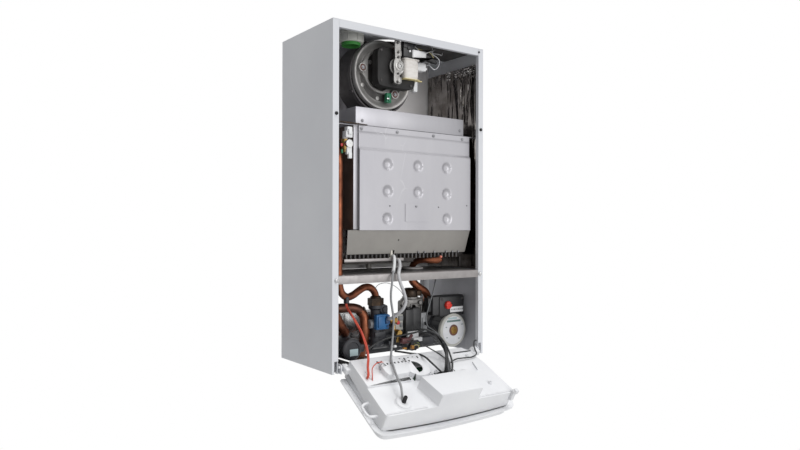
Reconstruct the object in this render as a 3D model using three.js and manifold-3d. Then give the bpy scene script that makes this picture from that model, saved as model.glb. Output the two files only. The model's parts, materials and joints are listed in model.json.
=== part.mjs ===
// A wall-hung combination gas boiler, its front cover off and its control panel swung open.
// Millimetres, X to the right, Y towards the wall, Z up. The pieces are drawn in the casing's frame:
// X is zero at the casing's middle, Y at the wall and Z at the casing's bottom edge. The control
// panel is drawn flat, back side up, and its group tilts it about the hinge. The whole then moves so
// that the origin lies on the wall, at the middle of the hanging rail.
import * as THREE from "three";
import { mergeVertices } from "three/addons/utils/BufferGeometryUtils.js";
import Module from "manifold-3d";

const wasm = await Module();
wasm.setup();

// Values that the whole boiler shares
const seat = 0.3; // gap between pieces that touch
const over = 4; // overrun of a cut past the face it opens
const mergeWithin = 1e-3;
const roundSides = 12; // facets of a turned piece
const pipeSides = 8;
const cordSides = 8;
const cornerSteps = 2;

// The casing
const casing = { width: 400, depth: 220, height: 700, sheet: 1.2, frontFold: 14, frontLip: 9,
  rearFold: 12, topStrip: 16 };
const halfWidth = casing.width / 2;
const insideX = halfWidth - casing.sheet - seat;
const openX = halfWidth - casing.frontFold - seat;
const ceiling = casing.height - casing.sheet;
const lipBack = -casing.depth + casing.frontLip + seat;
const rear = { set: 20, sheet: 1.2 }; // the rear panel lies this far in front of the wall
const rearFront = -rear.set;

// A piece's sizes, with its gaps from the casing's faces turned into places
function placed({ fromLeft = {}, fromRight = {}, fromFront = {}, fromTop = {}, ...sizes }) {
  const shifted = (gaps, face, way) => Object.fromEntries(Object.entries(gaps)
    .map(([name, gap]) => [name, face + way * gap]));
  return { ...sizes, ...shifted(fromLeft, -halfWidth, 1), ...shifted(fromRight, halfWidth, -1),
    ...shifted(fromFront, -casing.depth, 1), ...shifted(fromTop, casing.height, -1) };
}

const rail = placed({ width: 300, foot: 20, face: 40, sheet: 2, slotX: 120, slotWide: 12, slotTall: 22,
  fromTop: { bottom: 100 } });
const railMiddle = rail.bottom + rail.foot + rail.face / 2;
const floor = { top: 192, strip: 16, lip: 8, sheet: 1.2 };
const bottomRail = { top: 24, depth: 76, upstand: 42, apron: 12, sheet: 1.5, tailY: -58, tailHole: 13 };
const tailXs = placed({ hot: -8, fromLeft: { flow: 50 }, fromRight: { gas: 136, returned: 70 } }); // the pipe tails
const foil = placed({ thick: 3.2, gap: 1, behind: 2, fromFront: { front: 14 }, fromTop: { top: 32 } });

// The flue and the air intake in the top
const flue = placed({ x: 0, exhaust: 30, wall: 1.2, air: 50, plateOut: 62, plate: 3, collar: 9,
  fromFront: { y: 103 } });
const intake = placed({ x: -121, plug: 24, play: 1, cup: 27, cupDeep: 23.5, seal: 23, sealDeep: 7, wall: 2,
  fromFront: { y: 60 } });

// The combustion side
const vessel = placed({ bottom: 206, deep: 50, edge: 5, round: 34, seam: 3, port: 7, portLong: 12,
  fromRight: { halfWide: 54 },
  fromTop: { top: 210 } });
const shell = placed({ bottom: 284.5, back: -86, sheet: 1.2, fold: 12, earDeep: 15, ear: 1.5,
  fromLeft: { left: 62 },
  fromRight: { right: 22 }, fromTop: { top: 201.4 }, fromFront: { front: 22 } });
const hood = placed({ bottom: shell.top + seat, sheet: 1.5, riserLeft: -86, riserRight: 28, riserBack: -44,
  inlet: 33,
  fromLeft: { left: 66 }, fromRight: { right: 42 }, fromTop: { top: 164, riserTop: 10 }, fromFront: { front: 20.5 } });
const cover = placed({ bottom: 283, sheet: 1.2, strip: 14, groove: 0.8, slope: 7, proud: 4.5,
  fromLeft: { left: 73 },
  creaseShare: 0.758, sightOff: 4.25,
  fromRight: { right: 21.5 }, fromTop: { top: 202 }, fromFront: { front: 19.3 } });
const coverTall = cover.top - cover.bottom;
const coverShares = { dimple: 0.0465, sightLift: 0.1767, sightTall: 0.1814, sightHole: 0.1116 };
const dimple = { radius: coverTall * coverShares.dimple, deep: 3.4, bendShare: 0.8, wall: 1, sides: 10, columnShares: [0.2324, 0.504, 0.7692],
  rowShares: [0.656, 0.391, 0.13] };
const sight = { x: (cover.left + cover.right) / 2 - cover.sightOff, lift: coverTall * coverShares.sightLift, wide: 57,
  tall: coverTall * coverShares.sightTall, sheet: 1.5, holeWide: 40, holeTall: coverTall * coverShares.sightHole };
const apron = placed({ bottom: 233, hem: 10, sheet: 1.2, lip: 17, flare: 12, fromFront: { bottomFront: 38 } });
const lining = placed({ thick: 10, bottom: 293.5, fromTop: { top: 268 } });
const exchanger = placed({ back: -98, fins: 14, finShare: 0.45, finTall: 9, tube: 7.5, stub: 26,
  spread: 30, bend: 7,
  fromLeft: { left: 82 }, fromRight: { right: 42 }, fromTop: { bottom: 260, top: 212 }, fromFront: { front: 32 } });
const burner = placed({ blades: 15, side: 8, wideShare: 0.5, top: 262, mouth: 224, waist: 244,
  neckShare: 0.5, back: -98, bar: 8,
  fromFront: { front: 50 } });
const burnerMiddle = (shell.left + shell.right) / 2;
const burnerPitch = (shell.right - shell.left - burner.side * 2) / burner.blades;
const manifold = placed({ deep: 12, bottom: 214, tall: 8.5, jet: 3, jetSides: 6, foot: 12,
  fromLeft: { left: 1.5 }, fromRight: { right: 21 },
  fromFront: { front: 32 } });
const union = placed({ half: 12, bottom: 203, top: 222, fromRight: { x: 90 }, fromFront: { back: 54 } }); // the gas pipe feeds this boss
const electrode = placed({ x: -30, ceramic: 3.2, top: 250, pin: 1.2, pinTop: 264, flange: 14, flangeTall: 2.4,
  fromFront: { y: 40.5 } });

// The extractor fan and its motor
const hub = placed({ x: -28, fromTop: { z: 68 } });
const fan = placed({ x: -37, radius: 80, wall: 1.6, sides: 24, fromTop: { z: 83.5, neckTop: 3 },
  fromFront: { front: 71, back: 133 } });
const plate = placed({ x: -37, radius: 76, thick: 3, rim: 7, rimDeep: 8, crown: 1, ringX: -38.5,
  ringIn: 43, ringOut: 49, ringDeep: 5,
  bossAt: 55.6, boss: 9.5, bossDeep: 12, bore: 9, sides: 20, fromTop: { z: 80.5, ringZ: 72 } });
const bossAngles = [Math.PI, -Math.PI / 3, Math.PI / 3];
const wheel = placed({ radius: 56, eye: 34, disc: 2, blades: 9, bladeThick: 2, hub: 9,
  fromFront: { front: 78, back: 124 } });
const shaft = placed({ radius: 3, fromFront: { front: 12.5, back: 126 } });
const rotor = placed({ radius: 14, cap: 14.6, capDeep: 4, running: 0.6, fromFront: { front: 27, back: 51 } });
const core = placed({ left: -74, right: 24, windowLeft: -13, windowRight: 2, round: 14,
  fromTop: { bottom: 112, top: 29, windowBottom: 91.5, windowTop: 46 }, fromFront: { front: 29, back: 50 } });
const coil = placed({ right: 32, flange: 2, grow: 2.4, round: 5, fromFront: { outFront: 17, outBack: 62 } });
const bearing = placed({ wide: 16, thick: 3, boss: 12, post: 4.5, postUp: 24, bore: 3.6, hole: 2.2,
  holeShares: [0.2, 0.36, 0.7],
  fromTop: { bottom: 108, top: 12 }, fromFront: { front: 13.5 } });
const terminal = placed({ left: -8, right: 50, tall: 15, roundShare: 0.45, fromTop: { bottom: 43 },
  fromFront: { front: 13, back: 28.5 } });

// Water and gas pipes
const pipe = { flow: 8, gas: 9, cold: 10.5, hot: 10 };
const flowStart = placed({ fromTop: { z: 236 }, fromFront: { y: 70 } });
const vent = placed({ body: 7.5, bodyTall: 22, cap: 5.5, capTall: 9, foot: 5, footTall: 5, fromLeft: { x: 45 },
  fromFront: { y: 27 }, fromTop: { bottom: 254 } });
const nut = { across: 30, tall: 17 };
const grommet = placed({ hole: 20, play: 1, flange: 25, lip: 3, neck: 3, fromRight: { x: 136 },
  fromFront: { y: 90 } });
const flowHole = placed({ radius: 12, fromLeft: { x: 40 }, fromFront: { y: 34 } });
const returnHole = placed({ radius: 12, fromLeft: { x: 21 }, fromFront: { y: 92 } });
const underFloor = { clear: 14, split: 0.3 }; // the pipes' upper stretches end this far under the floor

// The gas valve, the water block and the pump
const valve = placed({ bottom: 52, top: 92, round: 6, castTop: 122, castIn: 10, castBack: 6, castSide: 6,
  outletZ: 104, outlet: 13, arm: 10,
  inlet: 11, lap: 1, fromRight: { left: 170, right: 102, outletX: 88, inletX: 136 }, fromFront: { front: 70, back: 122 } });
const block = placed({ x: -50, barrel: 20, bottom: 10, top: 120, armZ: 60, arm: 17, armLeft: -70, lowZ: 34,
  low: 12, neck: 11.4,
  ribs: 3, ribThick: 2.4, portX: -57, tail: 10, link: 7, seatDeep: 18, linkIn: 12, fromRight: { armRight: 174, lowRight: 140 },
  fromFront: { y: 72, lowY: 88, portY: 60 } });
const foot = { apart: 13, half: 3, lap: 9, bottom: 36, tall: 5 };
const actuator = placed({ x: -128, z: 36, radius: 23, face: 16, faceDeep: 3, round: 3, seatIn: 5,
  fromFront: { front: 40, back: 92 } });
const waterSwitch = placed({ left: -71, right: -35, bottom: 70, top: 104, round: 5, stub: 9, tab: 9, corner: 2,
  fromFront: { front: 35, back: 48 } });
const coldPipe = placed({ x: -82, height: 60, set: 27, fromLeft: { left: 19 }, fromFront: { y: 80 } });
const plates = { left: -68, right: 50, front: -46, bottom: bottomRail.top + seat, top: 92, count: 5, step: 8.6, plate: 4.6, inset: 2.5,
  round: 6, lap: 1 };
const pump = placed({ z: 51, volute: 41, wall: 3, motor: 36, face: 39, faceDeep: 7, inlet: 12,
  shoulder: 37, plug: 8, plugDeep: 3,
  plugRim: 4, tail: 11, outletIn: 33, rim: 5, edge: 2, cone: 8, fromRight: { x: 45 }, fromFront: { front: 102, back: 142, motorFront: 50 } });
const impeller = placed({ radius: 30, disc: 2, blades: 6, bladeThick: 2, shaft: 4, hub: 8, swing: 0.5,
  fromFront: { front: 114, back: 130 } });
const box = placed({ bottom: 84, top: 132, round: 3, fromRight: { left: 112, right: 10 },
  fromFront: { front: 52, back: 77 } });
const speedKnob = placed({ z: 110, radius: 9.5, deep: 6, stem: 5, stemDeep: 5, grip: 3, fromRight: { x: 62 } });
const reliefKnob = placed({ z: 30, radius: 12, deep: 16, lobes: 6, lobeShare: 0.82, stem: 5, stemDeep: 8,
  collar: 3,
  fromRight: { x: 174 }, fromFront: { y: 48 } });

// Bends of the rigid pipes in the bay: across as shares of the way between the two pieces that a pipe joins, upwards
// as shares of the floor's height; in depth they keep their distance from the casing's front, a share of the bay's
const bayDeep = 220;
const inBay = (fromX, toX, shares) => shares.map(([x, y, z]) => [fromX + x * (toX - fromX),
  (1 - y) * bayDeep - casing.depth, z * floor.top]);
const between = (from, to, shares) => shares.map((share) => from.map((value, i) => value + share[i] * (to[i] - value)));
const flowBendShares = [
  [0.01, 0.845, 0.859], [0.068, 0.841, 0.776], [0.223, 0.818, 0.742], [0.417, 0.8, 0.781], [0.592, 0.782, 0.828],
  [0.757, 0.764, 0.844], [0.913, 0.741, 0.813],
];
const gasBendShares = [[0.042, 0.591, 0.865], [0.25, 0.595, 0.813], [0.542, 0.595, 0.766], [0.812, 0.591, 0.724], [0.958, 0.577, 0.677]];
const coldBendShares = [
  [0, 0, 0.24], [0, 0, 0.448], [0, 0, 0.536], [0.07, 0, 0.589], [0.22, 0.01, 0.609], [0.44, 0.035, 0.612], [0.69, 0.09, 0.609],
  [0.88, 0.18, 0.599], [1, 0.34, 0.578], [0.99, 0.55, 0.536], [0.87, 0.74, 0.484], [0.65, 0.9, 0.427], [0.36, 0.98, 0.365],
  [0.12, 1, 0.318], [-0.02, 1, 0.313],
];
const returnBendShares = [
  [0.039, 0.605, 0.797], [0.137, 0.664, 0.724], [0.255, 0.714, 0.656], [0.373, 0.727, 0.589], [0.549, 0.727, 0.505],
  [0.745, 0.718, 0.448], [0.882, 0.682, 0.422], [0.961, 0.627, 0.411], [1, 0.577, 0.396], [1, 0.545, 0.36],
];
const flowTailShares = [[0, 0.518, 0.188], [0.273, 0.473, 0.208], [0.591, 0.418, 0.24], [0.864, 0.355, 0.26]];
const hotTailShares = [[0.714, 0.6, 0.177], [0.905, 0.527, 0.203], [1, 0.418, 0.24], [1, 0.318, 0.24]];
const pumpTailShares = [[0, 0, 0], [0.08, 0.385, 0], [0.36, 0.81, 0.11], [0.68, 1, 0.49]];
const pumpOutletShares = [
  [0, 0, 0], [0.19, 0, 0.17], [0.39, 0.12, 0.33], [0.55, 0.41, 0.67], [0.68, 0.76, 0.93], [0.82, 0.97, 1], [0.91, 1, 1],
];
const tail = { high: 35, middle: 20, end: 1 }; // a pipe's tail, down to the casing's bottom edge

// The control panel, drawn flat: X across, Y from the hinge (zero) to the free edge (negative), Z out of its back
const panel = placed({ hingeZ: 13, tilt: 31, wall: 2.2, base: 13, shelf: 17.5, shelfDeep: 79, free: 155,
  rise: 41, corner: 8, pin: 2.6, pinHole: 3.2, armThick: 6, armWide: 12, lugThick: 2, fromRight: { pinX: 14 } });
const panelSides = placed({ mid: 55, back: 16, rear: 3, rearCorner: 3, fromLeft: { left: 33 },
  fromRight: { right: 37, rightMid: 49, rightBack: 62, rearRight: 74 } });
const arm = { deep: 14, lap: 6, clear: 4 }; // the hinge arms' blocks under the cover's rear edge
const riser = { left: -60, leftFree: -46, right: 58, rear: 97, shelfGap: 2 };
const cableSlot = { left: 4, right: 54, near: 65, far: 88 };
const hump = { left: -118, right: -60, near: 27, far: 70, top: 29, round: 12 };
const clock = { x: -34, along: 52, radius: 28, top: 25, hole: 17, holeIn: 6, holeSteps: 8 };
const ventSlots = [
  { from: -108, to: -8, along: 19, count: 8 }, { from: -94, to: -52, along: 75, count: 4 },
];
const ventSlot = { wide: 3.4, tall: 7 };
const leadSocket = { x: -116, along: 132, radius: 17, raise: 1.5, bore: 4 };
const fascia = placed({ fromRight: { halfWide: 19 }, rear: 9, free: 166, corner: 28, rearCorner: 8,
  rim: 3.2, rimDrop: 22, bow: 9,
  inset: 15, bulge: 20, wall: 2.4, bulgeCorner: 20, steps: 8, cornerSteps: 4 });
const board = placed({ near: 24, far: 140, z: -9, thick: 1.6, post: 3.5, postIn: 10,
  relayWide: 22, relayDeep: 16, relayTall: 12, relays: 4, fromLeft: { left: 54 }, fromRight: { right: 80 } });
const knob = { radius: 20, deep: 15, taper: 2, stem: 7, running: 0.7, along: 88, sides: 24, fin: 4 };
const knobX = placed({ fromRight: { heating: 158, water: 100 } });
const gauge = placed({ fromLeft: { x: 90 }, along: 88, radius: 22, bezel: 3, deep: 7, face: 2, glass: 1,
  needle: 1, needleShare: 0.7 });
const button = { x: -24, along: 88, wide: 16, tall: 16, deep: 9, round: 3, flange: 2.4, flangeDeep: 2, running: 0.5 };

// The free leads: diameters, and the points that they follow in the casing's frame
const leads = { electrode: 4.6, sensor: 7, red: 5.4, black: 8.4, earth: 3 };
const electrodeRoute = [
  [-30, -183.5, 227], [-31, -190.8, 227.2], [-35, -198.5, 217], [-43, -208, 203.5], [-54, -221, 197], [-62, -229.5, 186],
  [-65, -231.5, 172], [-67, -231, 154], [-66, -230, 138], [-62, -229.5, 117], [-59, -229.5, 97],
  [-61, -230, 72], [-65, -232.5, 50], [-73, -241, 34], [-88, -261, 26], [-100, -287, 14],
  [-107, -308, 0], [-111, -326, -13], [-115, -335.5, -28], [-116.5, -338.8, -38],
];
const sensorRoute = [
  [-20, -188.6, 218.5], [-20, -194, 218.5], [-26, -206, 208], [-36, -218, 202], [-45, -228, 194], [-47, -231.5, 184],
  [-43, -232, 172], [-34, -232, 152], [-29, -231, 134], [-32, -228, 121], [-36, -222, 112], [-40, -214, 106], [-43, -203, 98],
  [-44, -196, 95.5], [-44, -190.5, 95],
];
const redRoute = [
  [-146, -183.5, 136.8], [-146, -186, 128], [-143.5, -196, 115], [-141, -209, 101], [-137, -223, 84],
  [-135, -234, 66], [-136, -247, 49], [-142, -260, 33], [-151, -273, 21], [-156, -281, 13], [-158, -284.5, 5.2], [-158, -281.4, -1.2],
];
const blackRoute = [
  [80, -150.6, 72], [79, -162, 72], [75, -180, 69.5], [71, -198, 64], [69, -215, 54], [67, -231, 44],
  [60, -248, 37], [50, -264, 33], [41, -279, 27], [34, -289, 17], [31, -292, 4], [31, -291, -8], [31, -289.3, -19.3],
];
const earthRoute = [
  [185.4, -214, 30], [180, -214.5, 29.5], [171, -222, 23], [160, -238, 15], [150, -254, 10.5], [138, -262, 8], [126, -264, 6],
  [112, -264.5, 6.5], [98, -264.5, 7], [82, -265, 7], [71, -266.5, 5], [62, -269.6, 2.6],
];
const routeSteps = { electrode: 26, sensor: 17, red: 15, black: 13, earth: 12 };

// Colours, with roughness and metalness
const finish = {
  paint: [0xe9ebee, 0.45, 0], steel: [0xc9cbcd, 0.4, 0.8], darkSteel: [0x5b5d60, 0.5, 0.7], grey: [0xb5b6b3, 0.5, 0.4],
  foil: [0xb9babc, 0.25, 0.9], copper: [0xb5673a, 0.35, 0.9], brass: [0xb08d4c, 0.35, 0.9], black: [0x1d1e20, 0.5, 0],
  rubber: [0x3a3b3d, 0.8, 0], white: [0xf3f4f4, 0.4, 0], blue: [0x1f5f9e, 0.45, 0], red: [0xd6382c, 0.5, 0],
  board: [0x2f6b3a, 0.6, 0], cord: [0xa9abad, 0.6, 0], redCord: [0xc94a35, 0.6, 0], ceramic: [0xeeeae0, 0.5, 0],
  wool: [0xd9d4c6, 0.9, 0], composite: [0x4a4b4e, 0.6, 0], cast: [0x8e9092, 0.5, 0.6], coilWhite: [0xe6e3dd, 0.6, 0],
};

// Turning drawings into closed solids
const lay = {
  plan: (low) => new THREE.Matrix4().makeTranslation(0, 0, low),
  side: (low) => new THREE.Matrix4()
    .makeBasis(new THREE.Vector3(0, 1, 0), new THREE.Vector3(0, 0, 1), new THREE.Vector3(1, 0, 0))
    .setPosition(low, 0, 0),
  front: (low, high) => new THREE.Matrix4()
    .makeBasis(new THREE.Vector3(1, 0, 0), new THREE.Vector3(0, 0, 1), new THREE.Vector3(0, -1, 0))
    .setPosition(0, high, 0),
};

function solid(geometry, matrix) {
  const bare = geometry.index ? geometry.toNonIndexed() : geometry;
  const placed = new THREE.BufferGeometry().setAttribute("position", bare.getAttribute("position").clone());
  if (matrix) placed.applyMatrix4(matrix);
  const merged = mergeVertices(placed, mergeWithin);
  const corners = merged.index.array;
  const kept = [];
  for (let i = 0; i < corners.length; i += 3) {
    const [a, b, c] = [corners[i], corners[i + 1], corners[i + 2]];
    if (a !== b && b !== c && c !== a) kept.push(a, b, c);
  }
  const make = (faces) => new wasm.Manifold(new wasm.Mesh({
    numProp: 3, vertProperties: merged.attributes.position.array, triVerts: new Uint32Array(faces),
  }));
  const made = make(kept);
  return made.volume() < 0 ? make(kept.reverse()) : made;
}

const join = (...solids) => solids.flat().reduce((whole, next) => whole.add(next));
const cut = (body, ...tools) => tools.flat().reduce((rest, tool) => rest.subtract(tool), body);

function mesh(name, body, look) {
  const { numProp, vertProperties, triVerts } = body.getMesh();
  const places = new Float32Array((vertProperties.length / numProp) * 3);
  for (let i = 0; i * numProp < vertProperties.length; i++)
    places.set(vertProperties.subarray(i * numProp, i * numProp + 3), i * 3);
  const geometry = new THREE.BufferGeometry()
    .setAttribute("position", new THREE.BufferAttribute(places, 3))
    .setIndex(new THREE.BufferAttribute(triVerts, 1));
  geometry.computeVertexNormals();
  const [color, roughness, metalness] = look;
  const made = new THREE.Mesh(geometry, new THREE.MeshStandardMaterial({ color, roughness, metalness, flatShading: true }));
  made.name = name;
  return made;
}

// Outlines
const outline = (points) => new THREE.Shape(points.map(([a, b]) => new THREE.Vector2(a, b)));
const rectangle = (a0, a1, b0, b1) => outline([[a0, b0], [a1, b0], [a1, b1], [a0, b1]]);

function ring(a, b, radius, sides = roundSides, turn = 0) {
  return outline(Array.from({ length: sides }, (_, i) => {
    const angle = turn + (i / sides) * 2 * Math.PI;
    return [a + radius * Math.cos(angle), b + radius * Math.sin(angle)];
  }));
}

// A closed outline whose corners are rounded, each by its own radius or all by the same one
function softened(points, radii, steps = cornerSteps) {
  const at = points.map(([a, b]) => new THREE.Vector2(a, b));
  const made = [];
  at.forEach((corner, i) => {
    const radius = Array.isArray(radii) ? radii[i] : radii;
    const before = at[(i + at.length - 1) % at.length].clone().sub(corner);
    const after = at[(i + 1) % at.length].clone().sub(corner);
    if (!radius) return made.push([corner.x, corner.y]);
    const half = Math.acos(THREE.MathUtils.clamp(before.dot(after) / (before.length() * after.length()), -1, 1)) / 2;
    const reach = Math.min(radius / Math.tan(half), before.length() / 2, after.length() / 2);
    const start = corner.clone().add(before.setLength(reach));
    const end = corner.clone().add(after.setLength(reach));
    const bend = new THREE.QuadraticBezierCurve(start, corner, end);
    return made.push(...bend.getPoints(steps).map((p) => [p.x, p.y]));
  });
  return outline(made);
}

const softBox = (a0, a1, b0, b1, radius, steps) => softened([[a0, b0], [a1, b0], [a1, b1], [a0, b1]], radius, steps);

function prism(shape, plane, low, high) {
  const geometry = new THREE.ExtrudeGeometry(shape, { depth: high - low, bevelEnabled: false });
  return solid(geometry, lay[plane](low, high));
}

function slab(x0, x1, y0, y1, z0, z1) {
  return prism(rectangle(x0, x1, y0, y1), "plan", z0, z1);
}

// The section of a folded sheet: the line of its outer face and the same line one thickness to its left
function folded(points, thick) {
  const at = points.map(([a, b]) => new THREE.Vector2(a, b));
  const normal = (from, to) => {
    const run = to.clone().sub(from).normalize();
    return new THREE.Vector2(-run.y, run.x);
  };
  const inner = at.map((point, i) => {
    const first = i ? normal(at[i - 1], point) : normal(point, at[1]);
    const second = i < at.length - 1 ? normal(point, at[i + 1]) : first;
    const middle = first.clone().add(second).normalize();
    return point.clone().addScaledVector(middle, thick / middle.dot(first));
  });
  return outline([...at, ...inner.reverse()].map((p) => [p.x, p.y]));
}

// A turned piece: rows of radius and height along its axis, closed on the axis or on itself
const axes = {
  x: new THREE.Matrix4().makeRotationZ(-Math.PI / 2),
  y: new THREE.Matrix4(),
  z: new THREE.Matrix4().makeRotationX(Math.PI / 2),
};

function turned(rows, axis, x, y, z, sides = roundSides) {
  const points = rows.map(([radius, height]) => new THREE.Vector2(radius, height));
  if (points[0].x > 0 || points[points.length - 1].x > 0) points.push(points[0].clone());
  const placed = new THREE.Matrix4().makeTranslation(x, y, z).multiply(axes[axis]);
  return solid(new THREE.LatheGeometry(points, sides), placed);
}

// A plain round rod along an axis
const spun = (radius, axis, from, to, x, y, z, sides) =>
  turned([[0, from], [radius, from], [radius, to], [0, to]], axis, x, y, z, sides);

function rod(from, to, radius, sides = roundSides) {
  const [a, b] = [new THREE.Vector3(...from), new THREE.Vector3(...to)];
  const run = b.clone().sub(a);
  const geometry = new THREE.CylinderGeometry(radius, radius, run.length(), sides);
  const turn = new THREE.Quaternion().setFromUnitVectors(new THREE.Vector3(0, 1, 0), run.clone().normalize());
  return solid(geometry, new THREE.Matrix4().compose(a.add(b).divideScalar(2), turn, new THREE.Vector3(1, 1, 1)));
}

function swept(points, radius, sides, steps, closed = false) {
  const path = new THREE.CatmullRomCurve3(points.map((p) => new THREE.Vector3(...p)), closed, "centripetal");
  const section = ring(0, 0, radius, sides);
  return solid(new THREE.ExtrudeGeometry(section, { steps, extrudePath: path, bevelEnabled: false }));
}

const hexagon = (a, b, across) => ring(a, b, across / 2 / Math.cos(Math.PI / 6), 6);

// The casing's sheets
function sidePanel(side) {
  const fold = folded([
    [-halfWidth + casing.rearFold, 0], [-halfWidth, 0], [-halfWidth, -casing.depth],
    [-halfWidth + casing.frontFold, -casing.depth], [-halfWidth + casing.frontFold, -casing.depth + casing.frontLip],
  ], casing.sheet);
  const wall = prism(fold, "plan", 0, casing.height);
  // The top panel lies over the folds, so they stop short of it
  const overTop = slab(-insideX - seat, 0, -casing.depth - over, over, ceiling - seat, casing.height + over);
  const lugX = panel.pinX - panel.armThick / 2 - seat - panel.lugThick;
  const lug = softened([
    [-casing.depth - panel.armWide / 2, 0], [lipBack, 0], [lipBack, panel.hingeZ + panel.armWide / 2],
    [-casing.depth - panel.armWide / 2, panel.hingeZ + panel.armWide / 2],
  ], [0, 0, 0, panel.armWide / 2]);
  lug.holes.push(ring(-casing.depth, panel.hingeZ, panel.pinHole, 12));
  const plateX = -lugX;
  const lugPlate = prism(lug, "side", plateX - panel.lugThick, plateX);
  const foot = slab(-halfWidth + casing.frontFold - casing.sheet, plateX, -casing.depth + casing.sheet,
    lipBack, 0, panel.lugThick);
  const pocket = slab(-halfWidth + casing.sheet + over, plateX - panel.lugThick, -casing.depth - over,
    -casing.depth + casing.sheet, -over, panel.hingeZ + panel.armWide);
  const made = join(cut(wall, overTop, pocket), lugPlate, foot);
  return side < 0 ? made : made.mirror([1, 0, 0]);
}

function topPanel() {
  const fold = folded([
    [-seat, casing.height], [-casing.depth, casing.height], [-casing.depth, casing.height - casing.topStrip],
    [-casing.depth + casing.frontLip, casing.height - casing.topStrip],
  ], casing.sheet);
  const sheet = prism(fold, "side", -insideX, insideX);
  const corner = (from, to) => slab(from, to, -casing.depth - over, lipBack, casing.height - casing.topStrip - over, ceiling);
  return cut(sheet, corner(-halfWidth, -openX), corner(openX, halfWidth),
    prism(ring(flue.x, flue.y, flue.air, 24), "plan", ceiling - over, casing.height + over),
    prism(ring(intake.x, intake.y, intake.plug), "plan", ceiling - over, casing.height + over));
}

function rearPanel() {
  const fold = folded([
    [-insideX, -casing.sheet - seat], [-insideX, rearFront], [insideX, rearFront], [insideX, -casing.sheet - seat],
  ], rear.sheet);
  return prism(fold, "plan", floor.top + seat, ceiling - seat);
}

function hangingRail() {
  const back = rearFront + rear.sheet + seat;
  const fold = folded([
    [back + rail.sheet, rail.bottom], [back + rail.sheet, rail.bottom + rail.foot], [0, rail.bottom + rail.foot],
    [0, rail.bottom + rail.foot + rail.face],
  ], rail.sheet);
  const bar = prism(fold, "side", -rail.width / 2, rail.width / 2);
  const slots = [-rail.slotX, rail.slotX].map((x) => prism(
    softBox(x - rail.slotWide / 2, x + rail.slotWide / 2, railMiddle - rail.slotTall / 2,
      railMiddle + rail.slotTall / 2, rail.slotWide / 2), "front", -rail.sheet - over, over));
  return cut(bar, slots);
}

function chamberFloor() {
  const fold = folded([
    [rearFront - seat, floor.top], [-casing.depth, floor.top], [-casing.depth, floor.top - floor.strip],
    [-casing.depth + floor.lip, floor.top - floor.strip],
  ], floor.sheet);
  const sheet = prism(fold, "side", -insideX, insideX);
  const corner = (from, to) => slab(from, to, -casing.depth - over, lipBack, floor.top - floor.strip - over, floor.top + over);
  const hole = (x, y, radius) => prism(ring(x, y, radius, 16), "plan", floor.top - over, floor.top + over);
  return cut(sheet, corner(-halfWidth, -openX), corner(openX, halfWidth),
    ...[{ ...grommet, radius: grommet.hole }, flowHole, returnHole].map(({ x, y, radius }) => hole(x, y, radius)));
}


function lowerRail() {
  const back = -casing.sheet - seat - bottomRail.sheet;
  const fold = folded([
    [-bottomRail.depth, bottomRail.top - bottomRail.apron], [-bottomRail.depth, bottomRail.top], [back, bottomRail.top],
    [back, bottomRail.top + bottomRail.upstand],
  ], -bottomRail.sheet);
  const sheet = prism(fold, "side", -insideX, insideX);
  const holes = Object.values(tailXs).map((x) => prism(ring(x, bottomRail.tailY, bottomRail.tailHole, 14), "plan",
    bottomRail.top - bottomRail.sheet - over, bottomRail.top + over));
  return cut(sheet, holes);
}

const foilLiner = () => slab(insideX - foil.thick, insideX, foil.front, rearFront - foil.behind, floor.top + foil.gap, foil.top);

function flueFlange() {
  const low = casing.height + seat;
  return turned([
    [flue.air, low], [flue.plateOut, low], [flue.plateOut, low + flue.plate], [flue.air + flue.wall * 2, low + flue.plate],
    [flue.air + flue.wall, low + flue.collar], [flue.air, low + flue.collar],
  ], "z", flue.x, flue.y, 0, 24);
}

function intakeCap() {
  const top = ceiling - seat;
  const plug = intake.plug - intake.play;
  return turned([
    [0, top - intake.wall], [intake.seal - intake.wall, top - intake.wall],
    [intake.seal - intake.wall, top - intake.cupDeep - intake.sealDeep],
    [intake.seal, top - intake.cupDeep - intake.sealDeep], [intake.seal, top - intake.cupDeep],
    [intake.cup, top - intake.cupDeep], [intake.cup, top], [plug, top], [plug, casing.height + intake.wall],
    [0, casing.height + intake.wall],
  ], "z", intake.x, intake.y, 0);
}

// The combustion side
function expansionVessel() {
  const front = rearFront - seat - vessel.deep;
  const inset = vessel.edge;
  const shape = softBox(-vessel.halfWide + inset, vessel.halfWide - inset, vessel.bottom + inset, vessel.top - inset, vessel.round);
  const pillow = new THREE.ExtrudeGeometry(shape, {
    depth: vessel.deep - 2 * inset, bevelThickness: inset, bevelSize: inset, bevelSegments: 2,
  });
  const body = solid(pillow, lay.front(0, rearFront - seat - inset));
  const middle = front + vessel.deep / 2;
  const seam = prism(softBox(-vessel.halfWide - vessel.seam, vessel.halfWide + vessel.seam, vessel.bottom - vessel.seam,
    vessel.top + vessel.seam, vessel.round), "front", middle - vessel.seam / 2, middle + vessel.seam / 2);
  const port = spun(vessel.port, "z", vessel.bottom - vessel.portLong, vessel.bottom + vessel.edge, 0, middle, 0, 12);
  return join(body, seam, port);
}

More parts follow.
